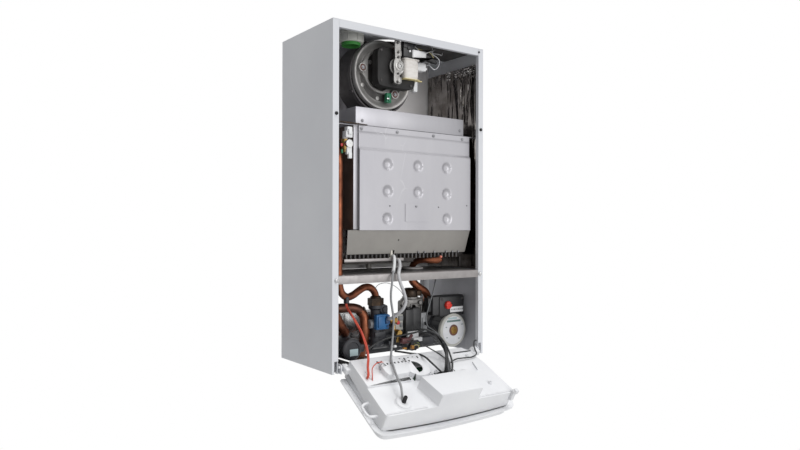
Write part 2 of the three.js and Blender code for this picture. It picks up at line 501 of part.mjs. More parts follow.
function combustionShell() {
  const fold = folded([
    [shell.right - shell.fold, shell.front], [shell.right, shell.front], [shell.right, shell.back],
    [shell.left, shell.back], [shell.left, shell.front], [shell.left + shell.fold, shell.front],
  ], shell.sheet);
  const box = prism(fold, "plan", shell.bottom, shell.top);
  const earTop = shell.top - seat;
  const ears = [[-insideX, shell.left], [shell.right, insideX - foil.thick - seat]].map(([from, to]) =>
    slab(from, to, shell.front, shell.front + shell.earDeep, earTop - shell.ear, earTop));
  const tubes = [-1, 1].map((way) => rod([shell.left - over, flowStart.y + way * exchanger.spread / 2, flowStart.z],
    [shell.left + over, flowStart.y + way * exchanger.spread / 2, flowStart.z], exchanger.tube + seat * 2, 14));
  return cut(join(box, ...ears), tubes);
}

function smokeHood() {
  const lower = (inset, drop) => slab(hood.left + inset, hood.right - inset, hood.front + inset, hood.riserBack - inset,
    hood.bottom - drop, hood.top - inset);
  const riserFront = fan.back + hood.sheet + seat;
  const upper = (inset, drop) => slab(hood.riserLeft + inset, hood.riserRight - inset, riserFront + inset,
    hood.riserBack - inset, hood.bottom - drop, hood.riserTop - inset);
  const outside = join(lower(0, 0), upper(0, 0));
  const inside = join(lower(hood.sheet, over), upper(hood.sheet, over));
  const inlet = spun(hood.inlet, "y", riserFront - over, riserFront + over, hub.x, 0, hub.z);
  return cut(outside, inside, inlet);
}

function chamberCover() {
  const main = cover.front;
  const low = cover.front - cover.proud;
  const stripBottom = cover.top - cover.strip;
  const crease = cover.bottom + coverTall * cover.creaseShare;
  const fold = folded([
    [main - seat, cover.bottom], [low, cover.bottom], [low, crease - cover.slope], [main, crease],
    [main, stripBottom - cover.groove], [main + cover.groove, stripBottom], [main, stripBottom + cover.groove],
    [main, cover.top],
  ].reverse(), cover.sheet);
  const sheet = prism(fold, "side", cover.left, cover.right);
  const wells = [];
  const cups = [];
  dimple.rowShares.forEach((share, row) => dimple.columnShares.forEach((across, column) => {
    const z = cover.bottom + share * coverTall;
    const x = cover.left + across * (cover.right - cover.left);
    if (row === dimple.rowShares.length - 1 && column === 1) return; // the sight plate's place
    wells.push(spun(dimple.radius, "y", low - over, main + over, x, 0, z, dimple.sides));
    const out = dimple.radius + dimple.wall;
    const mid = dimple.radius / 2;
    const bend = dimple.deep * dimple.bendShare;
    cups.push(turned([
      [0, low + dimple.deep], [mid, low + bend], [dimple.radius, low], [out, low], [out, low + cover.sheet],
      [mid, low + bend + cover.sheet], [0, low + dimple.deep + cover.sheet],
    ], "y", x, 0, z, dimple.sides));
  }));
  const middle = cover.bottom + sight.lift;
  const window = prism(rectangle(sight.x - sight.holeWide / 2, sight.x + sight.holeWide / 2,
    middle - sight.holeTall / 2, middle + sight.holeTall / 2), "front", low - over, low + over);
  return join(cut(sheet, ...wells, window), ...cups);
}

function sightPlate() {
  const back = cover.front - cover.proud - seat;
  const middle = cover.bottom + sight.lift;
  return prism(softBox(sight.x - sight.wide / 2, sight.x + sight.wide / 2, middle - sight.tall / 2,
    middle + sight.tall / 2, sight.sheet), "front", back - sight.sheet, back);
}

function flameApron() {
  const front = shell.front - seat - apron.sheet;
  const fold = folded([
    [front, cover.bottom + apron.lip], [front, cover.bottom], [apron.bottomFront, apron.bottom],
    [apron.bottomFront + apron.hem, apron.bottom],
  ], apron.sheet);
  const left = shell.left - apron.flare;
  const sheet = prism(fold, "side", left, shell.right);
  const notch = spun(electrode.ceramic + apron.sheet, "z", apron.bottom - over, electrode.top, electrode.x, electrode.y, 0);
  const wedge = outline([[left - over, apron.bottom], [left, apron.bottom], [shell.left, cover.bottom],
    [shell.left, cover.bottom + apron.lip + over], [left - over, cover.bottom + apron.lip + over]]);
  return cut(sheet, notch, prism(wedge, "front", front - over, apron.bottomFront + apron.hem + over));
}

function chamberLining() {
  const [left, right] = [shell.left + shell.sheet + seat, shell.right - shell.sheet - seat];
  const [back, front] = [shell.back - shell.sheet - seat, shell.front + shell.sheet + seat];
  return prism(outline([
    [left, front], [left + lining.thick, front], [left + lining.thick, back - lining.thick],
    [right - lining.thick, back - lining.thick], [right - lining.thick, front], [right, front], [right, back], [left, back],
  ]), "plan", lining.bottom, lining.top);
}

// A finned block: a comb above and below a solid middle, with the tubes' ends on its left
function heatExchanger() {
  const pitch = (exchanger.right - exchanger.left) / exchanger.fins;
  const thick = pitch * exchanger.finShare;
  const teeth = (from, way) => Array.from({ length: exchanger.fins }, (_, i) => {
    const x = exchanger.left + (way > 0 ? i : exchanger.fins - 1 - i) * pitch;
    const pair = [[x, from], [x, from + way * exchanger.finTall], [x + thick, from + way * exchanger.finTall], [x + thick, from]];
    return way > 0 ? pair : pair.reverse();
  }).flat();
  const comb = outline([
    ...teeth(exchanger.top - exchanger.finTall, 1), [exchanger.right, exchanger.top - exchanger.finTall],
    [exchanger.right, exchanger.bottom + exchanger.finTall], ...teeth(exchanger.bottom + exchanger.finTall, -1),
  ]);
  const body = prism(comb, "front", exchanger.front, exchanger.back);
  const stubs = [-1, 1].map((way) => rod([exchanger.left - exchanger.stub, flowStart.y + way * exchanger.spread / 2, flowStart.z],
    [exchanger.left + over, flowStart.y + way * exchanger.spread / 2, flowStart.z], exchanger.tube, 14));
  // Two legs stand on the lining and bear the block's weight
  const legs = [exchanger.left, exchanger.right - pitch].map((x) => slab(x, x + pitch, exchanger.back - over,
    exchanger.back, lining.top + seat, exchanger.bottom + exchanger.finTall));
  const shelf = [shell.left + shell.sheet + seat, shell.right - shell.sheet - seat];
  const tray = slab(shelf[0], shelf[1], exchanger.back - over, exchanger.back, lining.top + seat, exchanger.bottom);
  return join(body, ...stubs, ...legs, tray);
}

const bladeX = (i) => burnerMiddle + (i - (burner.blades - 1) / 2) * burnerPitch;

function burnerBlades() {
  const wide = burnerPitch * burner.wideShare;
  const neck = wide * burner.neckShare;
  const blades = Array.from({ length: burner.blades }, (_, i) => {
    const x = bladeX(i);
    return prism(outline([
      [x - wide / 2, burner.mouth], [x + wide / 2, burner.mouth], [x + neck / 2, burner.waist],
      [x + wide / 2, burner.top], [x - wide / 2, burner.top], [x - neck / 2, burner.waist],
    ]), "front", burner.front, burner.back);
  });
  const half = (burner.blades * burnerPitch) / 2;
  const shelfLeft = shell.left + shell.sheet + seat;
  const shelfRight = shell.right - shell.sheet - seat;
  const y = (burner.front + burner.back) / 2;
  const bar = slab(burnerMiddle - half, burnerMiddle + half, y - burner.bar / 2, y + burner.bar / 2,
    burner.waist - burner.bar / 2, burner.waist + burner.bar / 2);
  const ends = [[shelfLeft, burnerMiddle - half + seat], [burnerMiddle + half - seat, shelfRight]].map(([from, to]) =>
    slab(from, to, burner.front + burner.bar / 2, burner.back - burner.bar / 2, burner.waist - burner.bar / 2,
      shell.bottom + burner.bar));
  return join(...blades, bar, ...ends);
}

function gasManifold() {
  const back = manifold.front + manifold.deep;
  const tube = slab(manifold.left, manifold.right, manifold.front, back, manifold.bottom, manifold.bottom + manifold.tall);
  const z = manifold.bottom + manifold.tall / 2;
  const jets = Array.from({ length: burner.blades }, (_, i) => turned([
    [0, back - seat], [manifold.jet, back - seat], [manifold.jet / 2, burner.front - seat], [0, burner.front - seat],
  ], "y", bladeX(i), 0, z, manifold.jetSides));
  const foot = slab(manifold.right - manifold.foot, manifold.right, manifold.front, back, floor.top + seat, z);
  const boss = slab(union.x - union.half, union.x + union.half, back - over, union.back, union.bottom, union.top);
  const gap = seat * 2;
  const passing = prism(ring(flowHole.x, flowHole.y, pipe.flow + gap), "plan", manifold.bottom - over,
    manifold.bottom + manifold.tall + over);
  return cut(join(tube, ...jets, foot, boss), passing);
}

function ignitionElectrode() {
  const { x, y } = electrode;
  const half = electrode.flange / 2;
  const shelf = manifold.bottom + manifold.tall + seat;
  return join(
    spun(electrode.ceramic, "z", shelf, electrode.top, x, y, 0, cordSides),
    spun(electrode.pin, "z", electrode.top - over, electrode.pinTop, x, y, 0, manifold.jetSides),
    slab(x - half, x + half, y - half / 2, y + half / 2, shelf, shelf + electrode.flangeTall));
}

// The extractor fan
function fanVolute() {
  const drum = spun(fan.radius, "y", fan.front, fan.back, fan.x, 0, fan.z, fan.sides);
  const hollow = spun(fan.radius - fan.wall, "y", fan.front - over, fan.back - fan.wall, fan.x, 0, fan.z, fan.sides);
  const neck = spun(flue.exhaust + fan.wall, "z", fan.z, fan.neckTop, flue.x, flue.y, 0);
  const bore = spun(flue.exhaust, "z", fan.z, fan.neckTop + over, flue.x, flue.y, 0);
  const inlet = spun(wheel.eye, "y", fan.back - over, fan.back + over, hub.x, 0, hub.z);
  return cut(join(drum, neck), hollow, bore, inlet);
}

function motorPlate() {
  const back = fan.front - seat;
  const face = back - plate.thick;
  const disc = turned([
    [0, back], [0, face], [plate.radius - plate.rim, face], [plate.radius - plate.rim, face - plate.rimDeep + plate.thick],
    [plate.radius - plate.crown, face - plate.rimDeep + plate.thick], [plate.radius, face], [plate.radius, back],
  ], "y", plate.x, 0, plate.z, plate.sides);
  const collar = turned([
    [plate.ringIn, face + plate.crown], [plate.ringIn, face - plate.ringDeep], [plate.ringOut, face - plate.ringDeep],
    [plate.ringOut + over, face + plate.crown],
  ], "y", plate.ringX, 0, plate.ringZ, plate.sides);
  const bosses = bossAngles.map((angle) => spun(plate.boss, "y", face - plate.bossDeep, face + plate.crown,
    plate.ringX + plate.bossAt * Math.cos(angle), 0, plate.ringZ + plate.bossAt * Math.sin(angle)));
  const posts = [[core.left + core.round, core.bottom + core.round], [core.left + core.round, core.top - core.round],
    [core.right - core.round, core.bottom + core.round / 2]].map(([x, z]) =>
    spun(bearing.post, "y", core.back + seat, back - plate.thick / 2, x, 0, z, cordSides));
  const bore = spun(plate.bore, "y", face - over, back + over, hub.x, 0, hub.z);
  return cut(join(disc, collar, ...bosses, ...posts), bore);
}

function fanWheel() {
  const { x, z } = hub;
  const disc = turned([[shaft.radius, wheel.front], [wheel.hub, wheel.front], [wheel.hub, wheel.front + wheel.disc * 2],
    [wheel.radius, wheel.front + wheel.disc * 2], [wheel.radius, wheel.front + wheel.disc * 3],
    [shaft.radius, wheel.front + wheel.disc * 3]], "y", x, 0, z);
  const eyeRing = turned([[wheel.eye, wheel.back - wheel.disc], [wheel.radius, wheel.back - wheel.disc], [wheel.radius, wheel.back],
    [wheel.eye, wheel.back]], "y", x, 0, z);
  const blades = Array.from({ length: wheel.blades }, (_, i) => {
    const angle = (i / wheel.blades) * 2 * Math.PI;
    const swing = Math.PI / wheel.blades;
    const at = (radius, turn) => [x + radius * Math.cos(angle + turn), z + radius * Math.sin(angle + turn)];
    const [inner, outer] = [wheel.eye + wheel.disc, wheel.radius - wheel.disc];
    const lean = wheel.bladeThick / inner;
    return prism(outline([at(inner, 0), at(inner, lean), at(outer, swing + lean), at(outer, swing)].reverse()), "front",
      wheel.front + wheel.disc * 2.5, wheel.back - wheel.disc / 2);
  });
  return join(disc, eyeRing, ...blades);
}

function fanRotor() {
  const { x, z } = hub;
  return turned([
    [0, shaft.front], [shaft.radius, shaft.front], [shaft.radius, rotor.front - rotor.capDeep], [rotor.cap, rotor.front - rotor.capDeep],
    [rotor.cap, rotor.front - seat], [rotor.radius, rotor.front - seat], [rotor.radius, rotor.back], [shaft.radius, rotor.back],
    [shaft.radius - seat, wheel.front - seat], [shaft.radius - seat, shaft.back], [0, shaft.back],
  ], "y", x, 0, z, plate.sides);
}

function motorCore() {
  const plan = softened([[core.left, core.bottom], [core.right, core.bottom], [core.right, core.top], [core.left, core.top]],
    [core.round, core.round, 0, core.round]);
  plan.holes.push(ring(hub.x, hub.z, rotor.radius + rotor.running, plate.sides));
  plan.holes.push(rectangle(core.windowLeft, core.windowRight, core.windowBottom, core.windowTop));
  return prism(plan, "front", core.front, core.back);
}

function motorCoil() {
  const left = core.windowLeft + seat;
  const [low, high] = [core.windowBottom + seat, core.windowTop - seat];
  const wound = prism(softBox(left + coil.grow, coil.right - coil.grow, coil.outFront + coil.grow, coil.outBack - coil.grow,
    coil.round), "plan", low + coil.flange / 2, high - coil.flange / 2);
  const flanges = [low, high - coil.flange].map((z) => prism(softBox(left, coil.right, coil.outFront, coil.outBack,
    coil.round / 2), "plan", z, z + coil.flange));
  const leg = slab(core.windowRight - seat, core.right + seat, core.front - seat, core.back + seat, low - over, high + over);
  return cut(join(wound, ...flanges), leg);
}

function bearingStrip() {
  const { x, z } = hub;
  const back = bearing.front + bearing.thick;
  const half = bearing.wide / 2;
  const strip = prism(softBox(x - half, x + half, bearing.bottom, bearing.top, half / 2), "front", bearing.front, back);
  const boss = spun(bearing.boss, "y", bearing.front - bearing.thick / 3, back + bearing.thick / 3, x, 0, z, plate.sides);
  const posts = [bearing.bottom + half, bearing.top - bearing.postUp].map((at) =>
    spun(bearing.post, "y", back - bearing.thick / 3, core.front - seat, x, 0, at));
  const drill = (at, radius) => spun(radius, "y", bearing.front - over, back + over, x, 0, at, cordSides);
  const holes = bearing.holeShares.map((share) => drill(bearing.bottom + share * (bearing.top - bearing.bottom), bearing.hole));
  return cut(join(strip, boss, ...posts), drill(z, bearing.bore), ...holes);
}

function terminalCover() {
  const soft = terminal.tall * terminal.roundShare;
  return prism(softBox(terminal.left, terminal.right, terminal.front, terminal.back, soft), "plan", terminal.bottom,
    terminal.bottom + terminal.tall);
}

// Pipes above and below the floor
function flowPipe() {
  const { x, y } = flowHole;
  const { bend } = exchanger;
  const start = exchanger.left - exchanger.stub - seat * 2;
  const front = flowStart.y - exchanger.spread / 2;
  const below = floor.top - underFloor.clear;
  const route = [[start, front, flowStart.z], [start - bend, front, flowStart.z], [x - bend / 7, front - bend, flowStart.z - bend],
    [x - bend / 4, y + bend / 2, flowStart.z - bend * 3.7], [x, y, flowStart.z - bend * 7], [x, y, flowStart.z - bend * 9],
    [x, y, shell.bottom], [x, y, below], ...inBay(x, block.portX, flowBendShares),
    [block.portX, block.portY, block.top + nut.tall + bend], [block.portX, block.portY, block.top + nut.tall / 2]];
  const tube = swept(route, pipe.flow, pipeSides, 30);
  const collar = prism(hexagon(block.portX, block.portY, nut.across), "plan", block.top + seat, block.top + nut.tall);
  return join(tube, collar);
}

function airVent() {
  const top = vent.bottom + vent.bodyTall;
  return turned([
    [0, vent.bottom - vent.footTall], [vent.foot, vent.bottom - vent.footTall], [vent.foot, vent.bottom], [vent.body, vent.bottom],
    [vent.body, top], [vent.cap, top], [vent.cap, top + vent.capTall], [0, top + vent.capTall],
  ], "z", vent.x, vent.y, 0);
}

function gasPipeUpper() {
  const { x, y } = grommet;
  const z = (union.bottom + union.top) / 2;
  const run = union.x - x;
  const deep = union.back + seat * 2 - y;
  const bendShares = [[0.06, 0.05, 0.45], [0.26, 0.2, 0.84], [0.56, 0.4, 1], [0.8, 0.56, 1], [0.96, 0.75, 1], [1, 0.88, 1]];
  const low = floor.top + underFloor.clear / 2;
  const start = floor.top - underFloor.clear;
  return swept([[x, y, start], [x, y, floor.top], [x, y, low],
    ...bendShares.map(([across, back, up]) => [x + across * run, y + back * deep, low + up * (z - low)]),
    [union.x, y + deep, z]], pipe.gas, pipeSides, 15);
}

function gasPipeLower() {
  const { x, y } = grommet;
  const start = floor.top - underFloor.clear - underFloor.split;
  const end = y + underFloor.clear / 2;
  return swept([[x, y, start], [x, y, start - underFloor.clear / 3], ...inBay(x, valve.outletX, gasBendShares),
    [valve.outletX, end, valve.outletZ + valve.outlet * 1.3], [valve.outletX, end, valve.outletZ + valve.outlet]],
  pipe.gas, pipeSides, 16);
}

function gasGrommet() {
  const low = floor.top - floor.sheet;
  const inside = pipe.gas + seat;
  const under = grommet.flange - grommet.play * 2;
  const groove = grommet.hole - grommet.play;
  return turned([
    [inside, low - grommet.lip], [under, low - grommet.lip], [under, low - seat], [groove, low - seat],
    [groove, floor.top + seat], [grommet.flange, floor.top + seat], [grommet.flange, floor.top + grommet.lip],
    [inside, floor.top + grommet.lip + grommet.neck],
  ], "z", grommet.x, grommet.y, 0, plate.sides);
}

function gasValve() {
  const body = prism(softBox(valve.left, valve.right, valve.front, valve.back, valve.round), "plan", valve.bottom, valve.top);
  const cast = prism(softBox(valve.left + valve.castIn, valve.right - valve.castSide, valve.front + valve.castIn,
    valve.back - valve.castBack, valve.round), "plan", valve.top - valve.lap, valve.castTop);
  const step = slab(valve.left + valve.round, valve.left + valve.round * 4, valve.front - valve.round, valve.front + valve.round,
    valve.bottom + valve.round, valve.top - valve.round);
  const elbowY = grommet.y + underFloor.clear / 2;
  const outlet = spun(valve.outlet, "z", valve.outletZ - valve.outlet, valve.outletZ + valve.outlet - seat, valve.outletX, elbowY, 0);
  const arm = rod([valve.right - valve.castSide - over, elbowY, valve.outletZ], [valve.outletX, elbowY, valve.outletZ], valve.arm);
  const level = valve.bottom + valve.inlet + valve.lap * 2;
  const run = bottomRail.tailY;
  const inlet = swept([[valve.inletX, valve.back - valve.round, level], [valve.inletX, valve.back + valve.round * 2, level],
    [valve.inletX, run - over, valve.bottom + valve.inlet], [valve.inletX, run, tail.high], [valve.inletX, run, tail.end]],
  valve.arm, pipeSides, 12);
  return join(body, cast, step, outlet, arm, inlet);
}

const tailEnd = (x) => [tail.high, tail.middle, tail.end].map((z) => [x, bottomRail.tailY, z]);

// The moulded water block with its ports
function waterBlock() {
  const barrel = spun(block.barrel, "z", block.bottom, block.top - nut.tall, block.x, block.y, 0);
  const neck = spun(block.neck, "z", block.bottom + over, block.top, block.portX, block.portY, 0);
  const arm = spun(block.arm, "x", block.armLeft, block.armRight, 0, block.y + block.neck, block.armZ);
  const lowArm = spun(block.low, "x", block.x, block.lowRight, 0, block.lowY, block.lowZ);
  const ribs = Array.from({ length: block.ribs }, (_, i) => {
    const z = block.bottom + ((i + 1) / (block.ribs + 1)) * (block.top - nut.tall - block.bottom);
    return spun(block.barrel + block.ribThick, "z", z, z + block.ribThick, block.x, block.y, 0);
  });
  const seatY = actuator.back + seat;
  const actuatorSeat = spun(actuator.radius - actuator.seatIn, "y", seatY, seatY + block.seatDeep, actuator.x, 0, actuator.z);
  const link = rod([actuator.x, seatY + block.linkIn, actuator.z], [block.x, block.lowY + block.link, block.lowZ], block.link);
  const flowTail = swept([...inBay(actuator.x, tailXs.flow, flowTailShares), ...tailEnd(tailXs.flow)], block.tail, pipeSides, 11);
  const hotTail = swept([...inBay(block.x, tailXs.hot, hotTailShares), ...tailEnd(tailXs.hot)], block.tail, pipeSides, 9);
  const knobSeat = spun(reliefKnob.radius - reliefKnob.collar, "y", reliefKnob.y + reliefKnob.stemDeep + seat, block.lowY,
    reliefKnob.x, 0, reliefKnob.z);
  const switchZ = (waterSwitch.bottom + waterSwitch.top) / 2;
  const switchX = (waterSwitch.left + waterSwitch.right) / 2;
  const switchSeat = spun(waterSwitch.stub, "y", waterSwitch.back + seat, block.y, switchX, 0, switchZ);
  // Two feet run back to the bottom rail and stand on it
  const feet = [-1, 1].map((way) => {
    const x = block.x + way * foot.apart;
    return join(slab(x - foot.half, x + foot.half, block.y, -bottomRail.depth + foot.lap, foot.bottom, foot.bottom + foot.tall),
      slab(x - foot.half, x + foot.half, -bottomRail.depth, -bottomRail.depth + foot.lap, bottomRail.top + seat, foot.bottom + foot.tall));
  });
  return join(barrel, neck, arm, lowArm, ...ribs, actuatorSeat, link, flowTail, hotTail, knobSeat, switchSeat, ...feet);
}

function diverterActuator() {
  return turned([
    [0, actuator.back], [actuator.radius, actuator.back], [actuator.radius, actuator.front + actuator.round],
    [actuator.radius - actuator.round, actuator.front], [actuator.face, actuator.front], [actuator.face, actuator.front - actuator.faceDeep],
    [0, actuator.front - actuator.faceDeep],
  ], "y", actuator.x, 0, actuator.z);
}

function pressureSwitch() {
  const s = waterSwitch;
  const housing = prism(softBox(s.left, s.right, s.bottom, s.top, s.round), "front", s.front, s.back);
  const middle = (s.left + s.right) / 2;
  const from = s.left + s.tab + s.corner * 2;
  const shelf = slab(from, s.right - s.round, s.front - s.tab, s.front + over, s.bottom + s.round, s.bottom + s.round + s.tab);
  const cap = prism(softBox(middle - s.tab / 2, s.right - s.round, s.top - s.tab * 1.5, s.top - s.round, s.corner), "front",
    s.front - s.round, s.front + s.corner);
  return join(housing, shelf, cap);
}

function coldWaterPipe() {
  const { x, y } = coldPipe;
  const bends = between([x, y, 0], [coldPipe.left, -coldPipe.set, floor.top], coldBendShares);
  return swept([[x, y, tail.end], ...bends, [plates.left - seat * 2, -coldPipe.set, coldPipe.height]],
    pipe.cold, pipeSides, 26);
}

function returnPipeUpper() {
  const { x, y } = returnHole;
  const { bend } = exchanger;
  const level = flowStart.y + exchanger.spread / 2;
  const start = exchanger.left - exchanger.stub - seat * 2;
  return swept([[start, level, flowStart.z], [start - bend, level, flowStart.z], [x + bend * 1.7, level + bend / 2, flowStart.z - bend],
    [x + bend / 2, y, flowStart.z - bend * 4], [x, y, flowStart.z - bend * 10], [x, y, shell.bottom], [x, y, floor.top],
    [x, y, floor.top - underFloor.clear]], pipe.hot, pipeSides, 16);
}

function returnPipeLower() {
  const { x, y } = returnHole;
  const start = floor.top - underFloor.clear - underFloor.split;
  const end = [actuator.x, actuator.back + pipe.hot + seat * 2, actuator.z + actuator.radius - actuator.seatIn + seat * 2];
  return swept([[x, y, start], [x, y, start - underFloor.clear / 2], ...inBay(x, actuator.x, returnBendShares),
    [end[0], end[1], end[2] + block.linkIn / 2], end], pipe.hot, pipeSides, 19);
}

function plateExchanger() {
  const p = plates;
  const leaves = Array.from({ length: p.count }, (_, i) => {
    const y = p.front + i * p.step;
    return prism(softBox(p.left, p.right, p.bottom, p.top, p.round), "front", y, y + p.plate);
  });
  const middle = prism(softBox(p.left + p.inset, p.right - p.inset, p.bottom + p.inset, p.top - p.inset, p.round), "front",
    p.front + p.lap, p.front + (p.count - 1) * p.step + p.lap);
  return join(middle, ...leaves);
}

// The circulating pump
function pumpBody() {
  const { x, z } = pump;
  const outside = turned([
    [0, pump.back], [pump.volute - pump.cone, pump.back], [pump.volute, pump.back - pump.cone], [pump.volute, pump.front], [0, pump.front],
  ], "y", x, 0, z, plate.sides);
  const inside = turned([[0, pump.back - pump.wall], [pump.volute - pump.wall * 3, pump.back - pump.wall],
    [pump.volute - pump.wall, pump.back - pump.inlet], [pump.volute - pump.wall, pump.front - over], [0, pump.front - over]],
  "y", x, 0, z, plate.sides);
  const elbow = swept([...between([x - pump.edge * 3, pump.back - pump.inlet / 2, pump.z - pump.rim],
    [tailXs.returned, bottomRail.tailY, tail.middle + pump.cone], pumpTailShares), ...tailEnd(tailXs.returned).slice(1)],
  pump.tail, pipeSides, 12);
  const bore = spun(pump.inlet, "y", pump.back - pump.wall - over, pump.back - pump.wall / 2, x, 0, z);
  const outletEnd = [block.lowRight + seat * 2, block.lowY, block.lowZ];
  const outletStart = [x - pump.outletIn, pump.front + pump.inlet + pump.cone, block.lowZ + pump.wall];
  const outlet = swept([...between(outletStart, outletEnd, pumpOutletShares), outletEnd], pump.tail - pump.edge / 2, pipeSides, 12);
  const bracket = slab(x + pump.inlet, insideX - seat, pump.back - pump.inlet, pump.back - pump.inlet / 2,
    z - pump.inlet, z + pump.inlet);
  return cut(join(outside, elbow, bracket, outlet), inside, bore);
}

function pumpMotor() {
  const { x, z } = pump;
  const back = pump.front - seat;
  const front = pump.motorFront;
  return cut(turned([
    [0, back], [pump.volute, back], [pump.volute, back - pump.rim], [pump.shoulder, back - pump.rim * 2],
    [pump.motor, front + pump.faceDeep + pump.rim], [pump.face, front + pump.faceDeep], [pump.face, front + pump.edge],
    [pump.face - pump.edge, front], [pump.plug + pump.plugRim, front], [pump.plug + pump.plugRim, front + pump.edge],
    [pump.plug, front + pump.edge], [pump.plug, front - pump.plugDeep], [0, front - pump.plugDeep],
  ], "y", x, 0, z, plate.sides), spun(impeller.shaft + seat * 2, "y", back - pump.rim * 4, back + over, x, 0, z));
}

function pumpImpeller() {
  const { x, z } = pump;
  const tip = pump.front - pump.rim * 3;
  const disc = turned([[0, tip], [impeller.shaft, tip], [impeller.shaft, impeller.front - impeller.disc],
    [impeller.radius, impeller.front - impeller.disc], [impeller.radius, impeller.front], [impeller.hub, impeller.front],
    [impeller.hub / 2, impeller.back], [0, impeller.back]], "y", x, 0, z);
  const blades = Array.from({ length: impeller.blades }, (_, i) => {
    const angle = (i / impeller.blades) * 2 * Math.PI;
    const at = (radius, turn) => [x + radius * Math.cos(angle + turn), z + radius * Math.sin(angle + turn)];
    const lean = impeller.bladeThick / impeller.hub / 2;
    const { swing } = impeller;
    const [inner, outer] = [impeller.hub - impeller.disc / 2, impeller.radius - impeller.disc / 2];
    return prism(outline([at(inner, 0), at(inner, lean), at(outer, swing + lean / 3), at(outer, swing)].reverse()), "front",
      impeller.front - impeller.disc / 2, impeller.back);
  });
  return join(disc, ...blades);
}

function terminalBox() {
  const housing = prism(softBox(box.left, box.right, box.bottom, box.top, box.round), "front", box.front, box.back);
  const hole = spun(speedKnob.stem + seat, "y", box.front - over, box.front + speedKnob.stemDeep + seat, speedKnob.x, 0, speedKnob.z);
  const step = slab(box.left - over, valve.right + seat * 2, box.front - over, box.back + over, box.bottom - over, valve.top + seat * 2);
  const saddle = spun(pump.face + seat * 2, "y", box.front - over, box.back + over, pump.x, 0, pump.z, fan.sides);
  return cut(housing, hole, saddle, step);
}

function pumpSpeedKnob() {
  const k = speedKnob;
  const front = box.front - seat;
  const body = turned([[0, box.front + k.stemDeep - seat], [k.stem, box.front + k.stemDeep - seat], [k.stem, front], [k.radius, front],
    [k.radius - k.grip / 3, front - k.deep], [0, front - k.deep]], "y", k.x, 0, k.z, plate.sides);
  const reach = k.radius - k.grip / 2;
  const grip = slab(k.x - reach, k.x + reach, front - k.deep - k.grip / 2, front - k.deep + k.grip / 3,
    k.z - k.grip / 2, k.z + k.grip / 2);
  return join(body, grip);
}

function safetyKnob() {
  const k = reliefKnob;
  const star = outline(Array.from({ length: k.lobes * 2 }, (_, i) => {
    const angle = (i / (k.lobes * 2)) * 2 * Math.PI;
    const radius = i % 2 ? k.radius * k.lobeShare : k.radius;
    return [k.x + radius * Math.cos(angle), k.z + radius * Math.sin(angle)];
  }));
  return join(prism(star, "front", k.y - k.deep, k.y), spun(k.stem, "y", k.y - k.collar, k.y + k.stemDeep, k.x, 0, k.z));
}

// The control panel's pieces, in its flat frame
const alongBox = (x0, x1, near, far, z0, z1) => slab(x0, x1, -far, -near, z0, z1);

function panelOutline(inset) {
  const s = panelSides;
  return softened([
    [s.left + inset, -s.rear - inset], [s.left + inset, -panel.free + inset], [s.right - inset, -panel.free + inset],
    [s.rightMid - inset, -s.mid], [s.rightBack - inset, -s.back], [s.rearRight - inset, -s.rear - inset],
  ], [s.rearCorner, panel.corner, panel.corner, 0, 0, 0]);
}

// The bowed surface that the back cover's walls and the fascia's rim meet on
const bowAt = (x) => -fascia.rimDrop - fascia.bow * (1 - (x / fascia.halfWide) ** 2);

function bowPrism(top, bottom, low, high) {
  const across = Array.from({ length: fascia.steps + 1 }, (_, i) => (fascia.halfWide + over) * ((2 * i) / fascia.steps - 1));
  const under = across.map((x) => [x, bottom(x)]);
  const above = across.map((x) => [x, top(x)]).reverse();
  return prism(outline([...under, ...above]), "front", low, high);
}

function panelBackCover() {
  const p = panel;
  const w = p.wall;
  const low = -fascia.rimDrop - fascia.bow - over;
  // The cover's solid, drawn with its walls moved in by an inset: once for the outside, once for the inside
  const shape = (inset) => join(
    prism(panelOutline(inset), "plan", low - inset, p.base - inset),
    alongBox(panelSides.left + inset, riser.left - riser.shelfGap - inset, panelSides.rear + inset, p.shelfDeep - inset,
      0, p.shelf - inset),
    prism(outline([[riser.left + inset, -riser.rear - inset], [riser.leftFree + inset, -p.free + inset],
      [riser.right - inset, -p.free + inset], [riser.right - inset, -riser.rear - inset]]), "plan", 0, p.rise - inset),
    prism(softBox(hump.left + inset, hump.right - inset, -hump.far + inset, -hump.near - inset, hump.round - inset),
      "plan", 0, hump.top - inset),
    spun(clock.radius - inset, "z", 0, clock.top - inset, clock.x, -clock.along, 0, fan.sides));
  const socketRing = spun(leadSocket.radius, "z", 0, p.base + leadSocket.raise, leadSocket.x, -leadSocket.along, 0, plate.sides);
  const slots = ventSlots.flatMap((row) => Array.from({ length: row.count }, (_, i) => {
    const x = row.from + (i / (row.count - 1)) * (row.to - row.from);
    return alongBox(x - ventSlot.wide / 2, x + ventSlot.wide / 2, row.along - ventSlot.tall / 2,
      row.along + ventSlot.tall / 2, 0, p.shelf + hump.top);
  }));
  const halfHole = prism(outline(Array.from({ length: clock.holeSteps + 1 }, (_, i) => {
    const angle = (i / clock.holeSteps - 1 / 2) * Math.PI;
    return [clock.x - clock.holeIn + clock.hole * Math.cos(angle), -clock.along + clock.hole * Math.sin(angle)];
  })), "plan", 0, clock.top + over);
  const cableHole = alongBox(cableSlot.left, cableSlot.right, cableSlot.near, cableSlot.far, 0, p.base + over);
  const socket = spun(leadSocket.bore, "z", 0, p.base + over, leadSocket.x, -leadSocket.along, 0);
  const follow = bowPrism(bowAt, () => low - over * 2, -fascia.free - over, over);
  return join(cut(join(shape(0), socketRing), shape(w), ...slots, halfHole, cableHole, socket, follow), hingeArm(-1), hingeArm(1));
}

